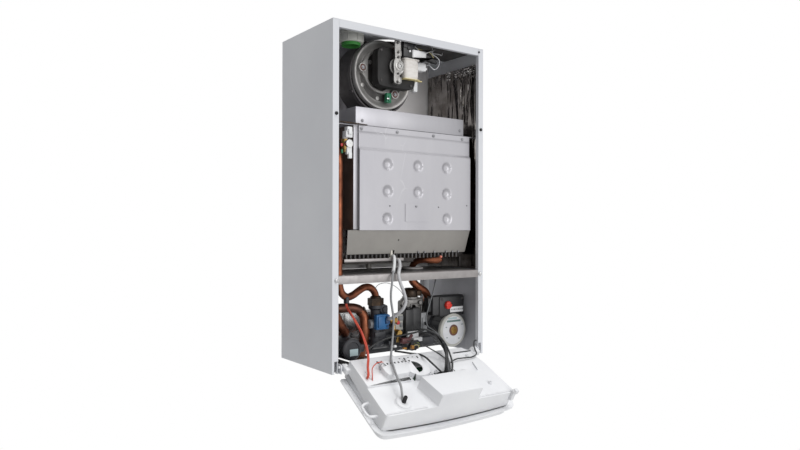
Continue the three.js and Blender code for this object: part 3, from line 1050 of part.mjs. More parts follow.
// One hinge arm: a rounded cheek with its pin, and the block that joins it to the cover's rear edge
function hingeArm(way) {
  const p = panel;
  const half = p.armWide / 2;
  const reach = panelSides.rear + arm.deep;
  const near = p.pinX - p.armThick - p.lugThick - seat * 2;
  const [inside, outside] = way < 0 ? [-near, p.armThick - near] : [near - p.armThick, near];
  const cheek = prism(softened([[-reach, -half], [half, -half], [half, half], [-reach, half]], [0, half, half, 0]), "side",
    inside, outside);
  const pinFrom = way < 0 ? -p.pinX : near - seat * 3;
  const pinTo = way < 0 ? seat * 3 - near : p.pinX;
  const pin = spun(p.pin, "x", pinFrom, pinTo, 0, 0, 0);
  const edge = way < 0 ? panelSides.left + arm.lap : panelSides.rearRight - arm.lap;
  const block = alongBox(way < 0 ? -near : edge, way < 0 ? edge : near, panelSides.rear + arm.clear, reach, -half, half);
  return join(cheek, pin, block);
}

function panelFascia() {
  const f = fascia;
  const sheet = softened([[-f.halfWide, -f.rear], [-f.halfWide, -f.free], [f.halfWide, -f.free], [f.halfWide, -f.rear]],
    [f.rearCorner, f.corner, f.corner, f.rearCorner], f.cornerSteps);
  const low = -f.rimDrop - f.bow - f.rim - f.bulge - over;
  const seated = (x) => bowAt(x) - seat;
  const rimBand = bowPrism(seated, (x) => seated(x) - f.rim, -f.free - over, over);
  const rim = prism(sheet, "plan", low, 0).intersect(rimBand);
  const body = (inset, lift) => {
    const side = f.halfWide - f.inset - inset;
    const tray = softBox(-side, side, -f.free + f.inset / 2 + inset, -f.rear - f.inset / 2 - inset, f.bulgeCorner, f.cornerSteps);
    return prism(tray, "plan", low - over, 0)
      .intersect(bowPrism((x) => seated(x) - (inset ? -over : f.rim / 2), (x) => seated(x) - f.bulge + lift, -f.free - over, over));
  };
  const holes = [
    ...Object.values(knobX).map((x) => spun(knob.stem + knob.running, "z", low - over, 0, x, -knob.along, 0)),
    spun(gauge.radius + seat, "z", low - over, 0, gauge.x, -gauge.along, 0, fan.sides),
    alongBox(button.x - button.wide / 2 - button.running, button.x + button.wide / 2 + button.running,
      button.along - button.tall / 2 - button.running, button.along + button.tall / 2 + button.running, low - over, 0),
  ];
  return cut(join(rim, body(0, 0)), body(f.wall, f.wall), ...holes);
}

const fasciaFront = (x) => bowAt(x) - seat - fascia.bulge;

function controlKnob(x) {
  const base = fasciaFront(x - knob.radius) - seat;
  const tip = base - knob.deep;
  const skirt = turned([[0, base], [knob.radius, base], [knob.radius - knob.taper, tip], [0, tip]], "z", x, -knob.along, 0, knob.sides);
  const stem = spun(knob.stem, "z", base - knob.taper, bowAt(0) + over, x, -knob.along, 0);
  const reach = knob.radius - knob.taper;
  const pointer = slab(x - knob.fin / 2, x + knob.fin / 2, -knob.along - reach, -knob.along + reach, tip - knob.fin / 2, tip + knob.fin / 4);
  return join(skirt, stem, pointer);
}

function pressureGauge() {
  const x = gauge.x;
  const rest = fasciaFront(x + gauge.radius + gauge.bezel) - seat;
  const front = rest - gauge.bezel;
  const back = front + gauge.deep + fascia.wall * 2;
  const inner = gauge.radius - gauge.glass;
  const housing = turned([
    [0, back], [inner, back], [inner, rest], [gauge.radius + gauge.bezel, rest], [gauge.radius + gauge.bezel, front - gauge.glass],
    [inner, front - gauge.glass], [inner, front + gauge.face], [0, front + gauge.face],
  ], "z", x, -gauge.along, 0, plate.sides);
  const needle = slab(x - gauge.needle, x + gauge.needle, -gauge.along, -gauge.along + gauge.radius * gauge.needleShare,
    front + gauge.glass, front + gauge.face + gauge.glass);
  return join(housing, needle);
}

function resetButton() {
  const { x, along } = button;
  const front = fasciaFront(0);
  const inside = front + fascia.wall + seat * 3;
  const half = { x: button.wide / 2, y: button.tall / 2 };
  const head = prism(softBox(x - half.x, x + half.x, -along - half.y, -along + half.y, button.round), "plan",
    front - button.deep / 2, inside + button.flangeDeep / 2);
  const flange = alongBox(x - half.x - button.flange, x + half.x + button.flange, along - half.y - button.flange,
    along + half.y + button.flange, inside, inside + button.flangeDeep);
  return join(head, flange);
}

function circuitBoard() {
  const b = board;
  const sheet = alongBox(b.left, b.right, b.near, b.far, b.z, b.z + b.thick);
  const top = panel.base - panel.wall - seat;
  const posts = [b.left + b.postIn, b.right - b.postIn].flatMap((x) => [b.near + b.postIn, b.far - b.postIn].map((along) =>
    spun(b.post, "z", b.z + b.thick / 2, top, x, -along, 0, cordSides)));
  const relays = Array.from({ length: b.relays }, (_, i) => {
    const x = b.right - b.postIn * 3 - i * (b.relayWide + b.postIn);
    return alongBox(x - b.relayWide, x, b.far - b.relayDeep * 2, b.far - b.relayDeep, b.z + b.thick / 2,
      b.z + b.thick + b.relayTall);
  });
  return join(sheet, ...posts, ...relays);
}

// Assembly
const boiler = new THREE.Group();
boiler.position.z = -railMiddle;
const put = (name, body, look, home = boiler) => home.add(mesh(name, body, look));

put("left_side_panel", sidePanel(-1), finish.paint);
put("right_side_panel", sidePanel(1), finish.paint);
put("top_panel", topPanel(), finish.paint);
put("rear_panel", rearPanel(), finish.steel);
put("hanging_rail", hangingRail(), finish.steel);
put("chamber_floor", chamberFloor(), finish.steel);
put("bottom_rail", lowerRail(), finish.steel);
put("foil_liner", foilLiner(), finish.foil);
put("flue_flange", flueFlange(), finish.white);
put("intake_cap", intakeCap(), finish.grey);

put("expansion_vessel", expansionVessel(), finish.grey);
put("combustion_shell", combustionShell(), finish.darkSteel);
put("smoke_hood", smokeHood(), finish.steel);
put("chamber_cover", chamberCover(), finish.steel);
put("sight_plate", sightPlate(), finish.steel);
put("flame_apron", flameApron(), finish.grey);
put("chamber_lining", chamberLining(), finish.wool);
put("heat_exchanger", heatExchanger(), finish.copper);
put("burner_blades", burnerBlades(), finish.steel);
put("gas_manifold", gasManifold(), finish.steel);
put("ignition_electrode", ignitionElectrode(), finish.ceramic);

put("fan_volute", fanVolute(), finish.darkSteel);
put("fan_motor_plate", motorPlate(), finish.cast);
put("fan_wheel", fanWheel(), finish.steel);
put("fan_rotor", fanRotor(), finish.steel);
put("motor_core", motorCore(), finish.black);
put("motor_coil", motorCoil(), finish.coilWhite);
put("motor_bearing_strip", bearingStrip(), finish.cast);
put("motor_terminal_cover", terminalCover(), finish.black);

put("flow_pipe", flowPipe(), finish.copper);
put("return_pipe_upper", returnPipeUpper(), finish.copper);
put("air_vent", airVent(), finish.brass);
put("gas_pipe_upper", gasPipeUpper(), finish.copper);
put("gas_pipe_lower", gasPipeLower(), finish.copper);
put("gas_grommet", gasGrommet(), finish.rubber);
put("gas_valve", gasValve(), finish.cast);
put("water_block", waterBlock(), finish.composite);
put("diverter_actuator", diverterActuator(), finish.black);
put("water_pressure_switch", pressureSwitch(), finish.blue);
put("cold_water_pipe", coldWaterPipe(), finish.copper);
put("return_pipe_lower", returnPipeLower(), finish.copper);
put("plate_exchanger", plateExchanger(), finish.steel);
put("pump_body", pumpBody(), finish.cast);
put("pump_motor", pumpMotor(), finish.cast);
put("pump_impeller", pumpImpeller(), finish.black);
put("pump_terminal_box", terminalBox(), finish.black);
put("pump_speed_knob", pumpSpeedKnob(), finish.red);
put("relief_valve_knob", safetyKnob(), finish.black);

const controls = new THREE.Group();
controls.position.set(0, -casing.depth, panel.hingeZ);
controls.rotation.x = THREE.MathUtils.degToRad(panel.tilt);
boiler.add(controls);
put("panel_back_cover", panelBackCover(), finish.white, controls);
put("panel_fascia", panelFascia(), finish.white, controls);
put("circuit_board", circuitBoard(), finish.board, controls);
put("heating_knob", controlKnob(knobX.heating), finish.grey, controls);
put("hot_water_knob", controlKnob(knobX.water), finish.grey, controls);
put("pressure_gauge", pressureGauge(), finish.black, controls);
put("reset_button", resetButton(), finish.grey, controls);

const lead = (name, points, look) => put(`${name}_lead`, swept(points, leads[name] / 2, cordSides, routeSteps[name]), look);
lead("electrode", electrodeRoute, finish.cord);
lead("sensor", sensorRoute, finish.cord);
lead("red", redRoute, finish.redCord);
lead("black", blackRoute, finish.black);
lead("earth", earthRoute, finish.cord);

export default boiler;
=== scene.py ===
# A wall-hung gas boiler with its front cover off and its control panel swung open.
import json
import math
import random

import bpy
import bmesh
from mathutils import Matrix, Vector

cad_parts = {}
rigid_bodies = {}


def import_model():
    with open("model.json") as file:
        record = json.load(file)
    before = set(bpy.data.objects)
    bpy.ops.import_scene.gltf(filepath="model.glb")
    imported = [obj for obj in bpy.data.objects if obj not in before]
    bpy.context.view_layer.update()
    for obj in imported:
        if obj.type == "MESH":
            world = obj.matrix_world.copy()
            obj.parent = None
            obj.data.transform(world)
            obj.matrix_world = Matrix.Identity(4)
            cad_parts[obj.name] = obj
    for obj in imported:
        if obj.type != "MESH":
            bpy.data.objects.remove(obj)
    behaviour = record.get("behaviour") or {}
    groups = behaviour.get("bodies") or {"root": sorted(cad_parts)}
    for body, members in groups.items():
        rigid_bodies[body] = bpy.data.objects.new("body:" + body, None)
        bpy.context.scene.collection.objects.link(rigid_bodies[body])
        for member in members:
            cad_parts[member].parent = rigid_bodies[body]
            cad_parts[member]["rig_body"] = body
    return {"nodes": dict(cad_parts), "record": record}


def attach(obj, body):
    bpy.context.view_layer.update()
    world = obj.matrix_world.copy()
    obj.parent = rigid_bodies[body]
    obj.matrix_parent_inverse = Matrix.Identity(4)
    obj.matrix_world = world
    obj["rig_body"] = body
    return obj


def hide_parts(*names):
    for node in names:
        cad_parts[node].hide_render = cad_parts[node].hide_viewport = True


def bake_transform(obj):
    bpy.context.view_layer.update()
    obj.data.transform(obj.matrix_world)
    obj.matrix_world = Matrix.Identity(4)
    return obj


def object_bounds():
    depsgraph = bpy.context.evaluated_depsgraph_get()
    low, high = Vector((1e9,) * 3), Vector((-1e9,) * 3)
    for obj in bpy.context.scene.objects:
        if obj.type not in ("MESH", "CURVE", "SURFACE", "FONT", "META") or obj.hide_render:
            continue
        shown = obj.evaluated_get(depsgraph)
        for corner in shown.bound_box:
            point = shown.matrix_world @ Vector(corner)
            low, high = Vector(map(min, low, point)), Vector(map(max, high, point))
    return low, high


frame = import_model()
nodes = frame["nodes"]
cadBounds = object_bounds()
random.seed(7)
mm = 0.001
scene = bpy.context.scene

# Pieces are drawn in millimetres: the casing's from its bottom edge at the wall, the panel's flat, back side up
inCase = Matrix.Translation((0, 0, -0.640)) @ Matrix.Scale(mm, 4)
inPanel = inCase @ Matrix.Translation((0, -220, 13)) @ Matrix.Rotation(math.radians(31), 4, "X")
print("frame loaded")


# Camera
photo = {"lens": 30.464, "place": (-0.8748745, -1.3666568, -0.3532776), "yaw": 0.6314, "pitch": 0.0051,
         "roll": 0.0023}


def placeCamera(view):
    lens = bpy.data.cameras.new("camera")
    lens.lens, lens.sensor_width, lens.clip_start = view["lens"], 36, 0.05
    camera = bpy.data.objects.new("camera", lens)
    ahead = Vector((math.sin(view["yaw"]) * math.cos(view["pitch"]), math.cos(view["yaw"]) * math.cos(view["pitch"]),
                    math.sin(view["pitch"])))
    turn = ahead.to_track_quat("-Z", "Y").to_matrix() @ Matrix.Rotation(view["roll"], 3, "Z")
    camera.matrix_world = Matrix.Translation(view["place"]) @ turn.to_4x4()
    scene.collection.objects.link(camera)
    scene.camera = camera


placeCamera(photo)


# Modelling helpers
def boxIn(bm, low, high, soft=0, segments=2):
    made = bmesh.ops.create_cube(bm, size=1)["verts"]
    low, high = Vector(low), Vector(high)
    bmesh.ops.scale(bm, vec=high - low, verts=made)
    bmesh.ops.translate(bm, vec=(low + high) / 2, verts=made)
    if soft:
        edges = list({edge for vert in made for edge in vert.link_edges})
        bmesh.ops.bevel(bm, geom=edges, offset=soft, segments=segments, profile=0.5, affect="EDGES", material=-1)


def rodIn(bm, start, end, radius, tip=None, segments=20):
    start, end = Vector(start), Vector(end)
    turn = (end - start).to_track_quat("Z", "Y").to_matrix().to_4x4()
    bmesh.ops.create_cone(bm, cap_ends=True, segments=segments, radius1=radius,
                          radius2=radius if tip is None else tip, depth=(end - start).length,
                          matrix=Matrix.Translation((start + end) / 2) @ turn)


def turnIn(bm, rows, centre, axis="y", steps=48):
    along = {"x": Vector((1, 0, 0)), "y": Vector((0, 1, 0)), "z": Vector((0, 0, 1))}[axis]
    out = Vector((0, 0, 1)) if axis == "x" else Vector((1, 0, 0))
    centre = Vector(centre)
    verts = [bm.verts.new(centre + along * height + out * radius) for radius, height in rows]
    edges = [bm.edges.new(pair) for pair in zip(verts, verts[1:])]
    if rows[0][0] > 0:
        edges.append(bm.edges.new((verts[-1], verts[0])))
    bmesh.ops.spin(bm, geom=verts + edges, cent=centre, axis=along, angle=2 * math.pi, steps=steps, use_merge=True)
    bmesh.ops.remove_doubles(bm, verts=bm.verts, dist=0.001)


def plateIn(bm, outline, plane, low, high, corner=0, steps=3):
    spot = {"front": lambda a, b: (a, low, b), "plan": lambda a, b: (a, b, low),
            "side": lambda a, b: (low, a, b)}[plane]
    way = {"front": Vector((0, 1, 0)), "plan": Vector((0, 0, 1)), "side": Vector((1, 0, 0))}[plane]
    face = bm.faces.new([bm.verts.new(spot(a, b)) for a, b in outline])
    made = bmesh.ops.extrude_face_region(bm, geom=[face])["geom"]
    tops = [part for part in made if isinstance(part, bmesh.types.BMVert)]
    bmesh.ops.translate(bm, vec=way * (high - low), verts=tops)
    if corner:
        sides = [edge for vert in tops for edge in vert.link_edges
                 if abs((edge.verts[1].co - edge.verts[0].co).normalized().dot(way)) > 0.99]
        bmesh.ops.bevel(bm, geom=sides, offset=corner, segments=steps, profile=0.5, affect="EDGES", material=-1)


def onCircle(x, z, radius, degrees):
    angle = math.radians(degrees)
    return Vector((x + radius * math.cos(angle), 0, z + radius * math.sin(angle)))


def screwIn(bm, place, way, radius=3.4, deep=2.2, cross=True):
    place, way = Vector(place), Vector(way).normalized()
    rodIn(bm, place, place + way * deep * 0.55, radius, segments=16)
    rodIn(bm, place + way * deep * 0.5, place + way * deep, radius * 0.98, radius * 0.6, 16)
    if cross:
        side = way.orthogonal().normalized()
        for arm in (side, way.cross(side)):
            rodIn(bm, place + way * (deep + 0.05) - arm * radius * 0.45,
                  place + way * (deep + 0.05) + arm * radius * 0.45, radius * 0.12, segments=4)


def openRoute(points, steps=8):
    # A rounded line through the points, even where they lie unevenly
    points = [Vector(point) for point in points]
    ends = [points[0] * 2 - points[1]] + points + [points[-1] * 2 - points[-2]]
    line = []
    for before, start, end, after in zip(ends, ends[1:], ends[2:], ends[3:]):
        knots = [0]
        for a, b in ((before, start), (start, end), (end, after)):
            knots.append(knots[-1] + max((b - a).length, 1e-4) ** 0.5)
        slopeStart = ((start - before) / (knots[1] - knots[0]) - (end - before) / (knots[2] - knots[0])
                      + (end - start) / (knots[2] - knots[1])) * (knots[2] - knots[1])
        slopeEnd = ((end - start) / (knots[2] - knots[1]) - (after - start) / (knots[3] - knots[1])
                    + (after - end) / (knots[3] - knots[2])) * (knots[2] - knots[1])
        for step in range(steps):
            t = step / steps
            line.append(start * (2 * t ** 3 - 3 * t ** 2 + 1) + slopeStart * (t ** 3 - 2 * t ** 2 + t)
                        + end * (3 * t ** 2 - 2 * t ** 3) + slopeEnd * (t ** 3 - t ** 2))
    return line + [points[-1]]


def tubeMesh(name, lines, radius, sides=10):
    # One mesh of round tubes along the lines, in metres
    curve = bpy.data.curves.new(name, "CURVE")
    curve.dimensions, curve.bevel_depth, curve.use_fill_caps = "3D", radius, True
    curve.bevel_resolution = max(0, sides // 2 - 2)
    for line in lines:
        spline = curve.splines.new("POLY")
        spline.points.add(len(line) - 1)
        for knot, place in zip(spline.points, line):
            knot.co = (*place, 1)
    holder = bpy.data.objects.new(name, curve)
    scene.collection.objects.link(holder)
    bpy.context.view_layer.update()
    mesh = bpy.data.meshes.new_from_object(holder.evaluated_get(bpy.context.evaluated_depsgraph_get()))
    bpy.data.objects.remove(holder)
    mesh.name = name
    return mesh


def finishPiece(source, name, finish, body="case", home=inCase, slot=None, smooth=40, replaces=(), softer=0):
    if isinstance(source, bmesh.types.BMesh):
        bmesh.ops.recalc_face_normals(source, faces=source.faces)
        bmesh.ops.transform(source, matrix=home, verts=source.verts)
        mesh = bpy.data.meshes.new(name)
        source.to_mesh(mesh)
        source.free()
    else:
        mesh = source
    piece = bpy.data.objects.new(name, mesh)
    scene.collection.objects.link(piece)
    mesh.materials.clear()
    mesh.materials.append(finishes[finish])
    if softer:
        edge = piece.modifiers.new("softer edges", "BEVEL")
        edge.width, edge.segments, edge.limit_method, edge.angle_limit = softer * mm, 2, "ANGLE", math.radians(35)
        edge.use_clamp_overlap = False
        bpy.context.view_layer.update()
        rounded = bpy.data.meshes.new_from_object(piece.evaluated_get(bpy.context.evaluated_depsgraph_get()))
        piece.modifiers.clear()
        piece.data = mesh = rounded
    mesh.shade_smooth()
    mesh.set_sharp_from_angle(angle=math.radians(smooth))
    if body:
        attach(piece, body)
    if replaces:
        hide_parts(*replaces)
    return piece


def build(name, finish, *steps, **more):
    # One piece from its steps, each a helper with its values
    bm = bmesh.new()
    for step, *values in steps:
        step(bm, *values)
    return finishPiece(bm, name, finish, **more)


def softenNode(node, finish, width, smooth=40, slot=None):
    # The CAD node's own shape with its edges rounded
    bm = bmesh.new()
    bm.from_mesh(nodes[node].data)
    bmesh.ops.remove_doubles(bm, verts=bm.verts, dist=2e-5)
    bmesh.ops.dissolve_limit(bm, angle_limit=math.radians(0.5), verts=bm.verts, edges=bm.edges)
    home = Matrix.Identity(4)
    return finishPiece(bm, node + "_shape", finish, nodes[node]["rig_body"], home, slot, smooth, (node,), width)


# Finishes: shared effects as node groups, then one material for each of the object's finishes
def newGroup(name, inputs, outputs):
    group = bpy.data.node_groups.new(name, "ShaderNodeTree")
    for label, kind, value in inputs:
        socket = group.interface.new_socket(name=label, in_out="INPUT", socket_type=kind)
        if value is not None:
            socket.default_value = value
    for label, kind in outputs:
        group.interface.new_socket(name=label, in_out="OUTPUT", socket_type=kind)
    return group, group.nodes.new("NodeGroupInput"), group.nodes.new("NodeGroupOutput")


def addNode(tree, kind, presets=None, **values):
    node = tree.nodes.new(kind)
    for key, value in values.items():
        setattr(node, key, value)
    for key, value in (presets or {}).items():
        node.inputs[key].default_value = value
    return node


def join(tree, *rows):
    # Links, each from one node's output to another node's input
    for source, output, target, entry in rows:
        tree.links.new(source.outputs[output], target.inputs[entry])


def patchesGroup():
    # Soft uneven areas, from 0 to 1
    group, start, end = newGroup("patches", [("Vector", "NodeSocketVector", None), ("Scale", "NodeSocketFloat", 20.0),
                                             ("Spread", "NodeSocketFloat", 0.2)], [("Mask", "NodeSocketFloat")])
    cloud = addNode(group, "ShaderNodeTexNoise", {"Detail": 5, "Roughness": 0.6})
    low = addNode(group, "ShaderNodeMath", {0: 0.5}, operation="SUBTRACT")
    high = addNode(group, "ShaderNodeMath", {0: 0.5}, operation="ADD")
    level = addNode(group, "ShaderNodeMapRange", interpolation_type="SMOOTHSTEP")
    join(group, (start, "Vector", cloud, "Vector"), (start, "Scale", cloud, "Scale"), (start, "Spread", low, 1),
         (start, "Spread", high, 1), (cloud, "Fac", level, "Value"), (low, 0, level, "From Min"),
         (high, 0, level, "From Max"), (level, "Result", end, "Mask"))
    return group


def grainGroup():
    # Fine relief with a second, coarser layer under it
    group, start, end = newGroup("grain", [("Vector", "NodeSocketVector", None), ("Fine", "NodeSocketFloat", 900.0),
                                           ("Coarse", "NodeSocketFloat", 60.0), ("Share", "NodeSocketFloat", 0.4)],
                                 [("Height", "NodeSocketFloat")])
    fine, coarse = [addNode(group, "ShaderNodeTexNoise", {"Detail": 2}) for _ in range(2)]
    blend = addNode(group, "ShaderNodeMix", data_type="FLOAT")
    join(group, (start, "Vector", fine, "Vector"), (start, "Fine", fine, "Scale"),
         (start, "Vector", coarse, "Vector"), (start, "Coarse", coarse, "Scale"), (start, "Share", blend, "Factor"),
         (fine, "Fac", blend, "A"), (coarse, "Fac", blend, "B"), (blend, "Result", end, "Height"))
    return group


def wearGroup():
    # Thin scattered scratches and rubbed specks
    group, start, end = newGroup("wear", [("Vector", "NodeSocketVector", None), ("Scale", "NodeSocketFloat", 12.0),
                                          ("Amount", "NodeSocketFloat", 0.3)], [("Mask", "NodeSocketFloat")])
    bend = addNode(group, "ShaderNodeTexNoise", {"Scale": 9, "Detail": 3})
    lines = addNode(group, "ShaderNodeTexVoronoi", feature="DISTANCE_TO_EDGE")
    mixed = addNode(group, "ShaderNodeMix", {"Factor": 0.06}, data_type="VECTOR")
    thin = addNode(group, "ShaderNodeMapRange", {"From Min": 0.0, "From Max": 0.012, "To Min": 1, "To Max": 0})
    where = addNode(group, "ShaderNodeTexNoise", {"Scale": 14})
    gate = addNode(group, "ShaderNodeMapRange", {"From Min": 0.55, "From Max": 0.7}, interpolation_type="SMOOTHSTEP")
    both = addNode(group, "ShaderNodeMath", operation="MULTIPLY")
    scaled = addNode(group, "ShaderNodeMath", operation="MULTIPLY")
    join(group, (start, "Vector", bend, "Vector"), (start, "Vector", mixed, "A"), (bend, "Color", mixed, "B"),
         (mixed, "Result", lines, "Vector"), (start, "Scale", lines, "Scale"), (lines, "Distance", thin, "Value"),
         (start, "Vector", where, "Vector"), (where, "Fac", gate, "Value"), (thin, "Result", both, 0),
         (gate, "Result", both, 1), (both, 0, scaled, 0), (start, "Amount", scaled, 1), (scaled, 0, end, "Mask"))
    return group


groups = {"patches": patchesGroup(), "grain": grainGroup(), "wear": wearGroup()}


def linear(*colour):
    return [((value / 255 + 0.055) / 1.055) ** 2.4 if value > 10 else value / 255 / 12.92 for value in colour] + [1]


plainLook = {"stretch": (1, 1, 1), "patch": 14, "spread": 0.22, "metal": 0, "coat": 0, "coatRough": 0.15, "fine": 900,
             "coarse": 60, "share": 0.4, "bump": 0.2, "depth": 0.0004, "wearScale": 30, "wearColour": (210, 210, 208),
             "roughPatch": 2.3, "roughSpread": 0.3}


def makeFinish(name, values):
    look = {**plainLook, **values}
    finish = bpy.data.materials.new(name)
    finish.use_nodes = True
    tree = finish.node_tree
    shader = tree.nodes["Principled BSDF"]
    place = addNode(tree, "ShaderNodeTexCoord")
    stretch = addNode(tree, "ShaderNodeMapping", {"Scale": look["stretch"]})
    join(tree, (place, "Object", stretch, "Vector"))

    def useGroup(kind, **presets):
        node = addNode(tree, "ShaderNodeGroup", presets, node_tree=groups[kind])
        join(tree, (stretch, "Vector", node, "Vector"))
        return node

    tone = useGroup("patches", Scale=look["patch"], Spread=look["spread"])
    colour = addNode(tree, "ShaderNodeMix", {"A": linear(*look["colour"]), "B": linear(*look["second"])},
                     data_type="RGBA")
    join(tree, (tone, "Mask", colour, "Factor"))
    if "wear" in look:
        rubs = useGroup("wear", Scale=look["wearScale"], Amount=look["wear"])
        rubbed = addNode(tree, "ShaderNodeMix", {"B": linear(*look["wearColour"])}, data_type="RGBA")
        join(tree, (rubs, "Mask", rubbed, "Factor"), (colour, "Result", rubbed, "A"))
        colour = rubbed
    rough = useGroup("patches", Scale=look["patch"] * look["roughPatch"], Spread=look["roughSpread"])
    smoothest, roughest = look["rough"]
    level = addNode(tree, "ShaderNodeMapRange", {"To Min": smoothest, "To Max": roughest})
    grain = useGroup("grain", Fine=look["fine"], Coarse=look["coarse"], Share=look["share"])
    bump = addNode(tree, "ShaderNodeBump", {"Strength": look["bump"], "Distance": look["depth"]})
    for key, value in (("Metallic", look["metal"]), ("Coat Weight", look["coat"]),
                       ("Coat Roughness", look["coatRough"])):
        shader.inputs[key].default_value = value
    join(tree, (colour, "Result", shader, "Base Color"), (rough, "Mask", level, "Value"),
         (level, "Result", shader, "Roughness"), (grain, "Height", bump, "Height"),
         (bump, "Normal", shader, "Normal"))
    return finish


def tint(colour, second, rough, **more):
    return {"colour": colour, "second": second, "rough": rough, **more}


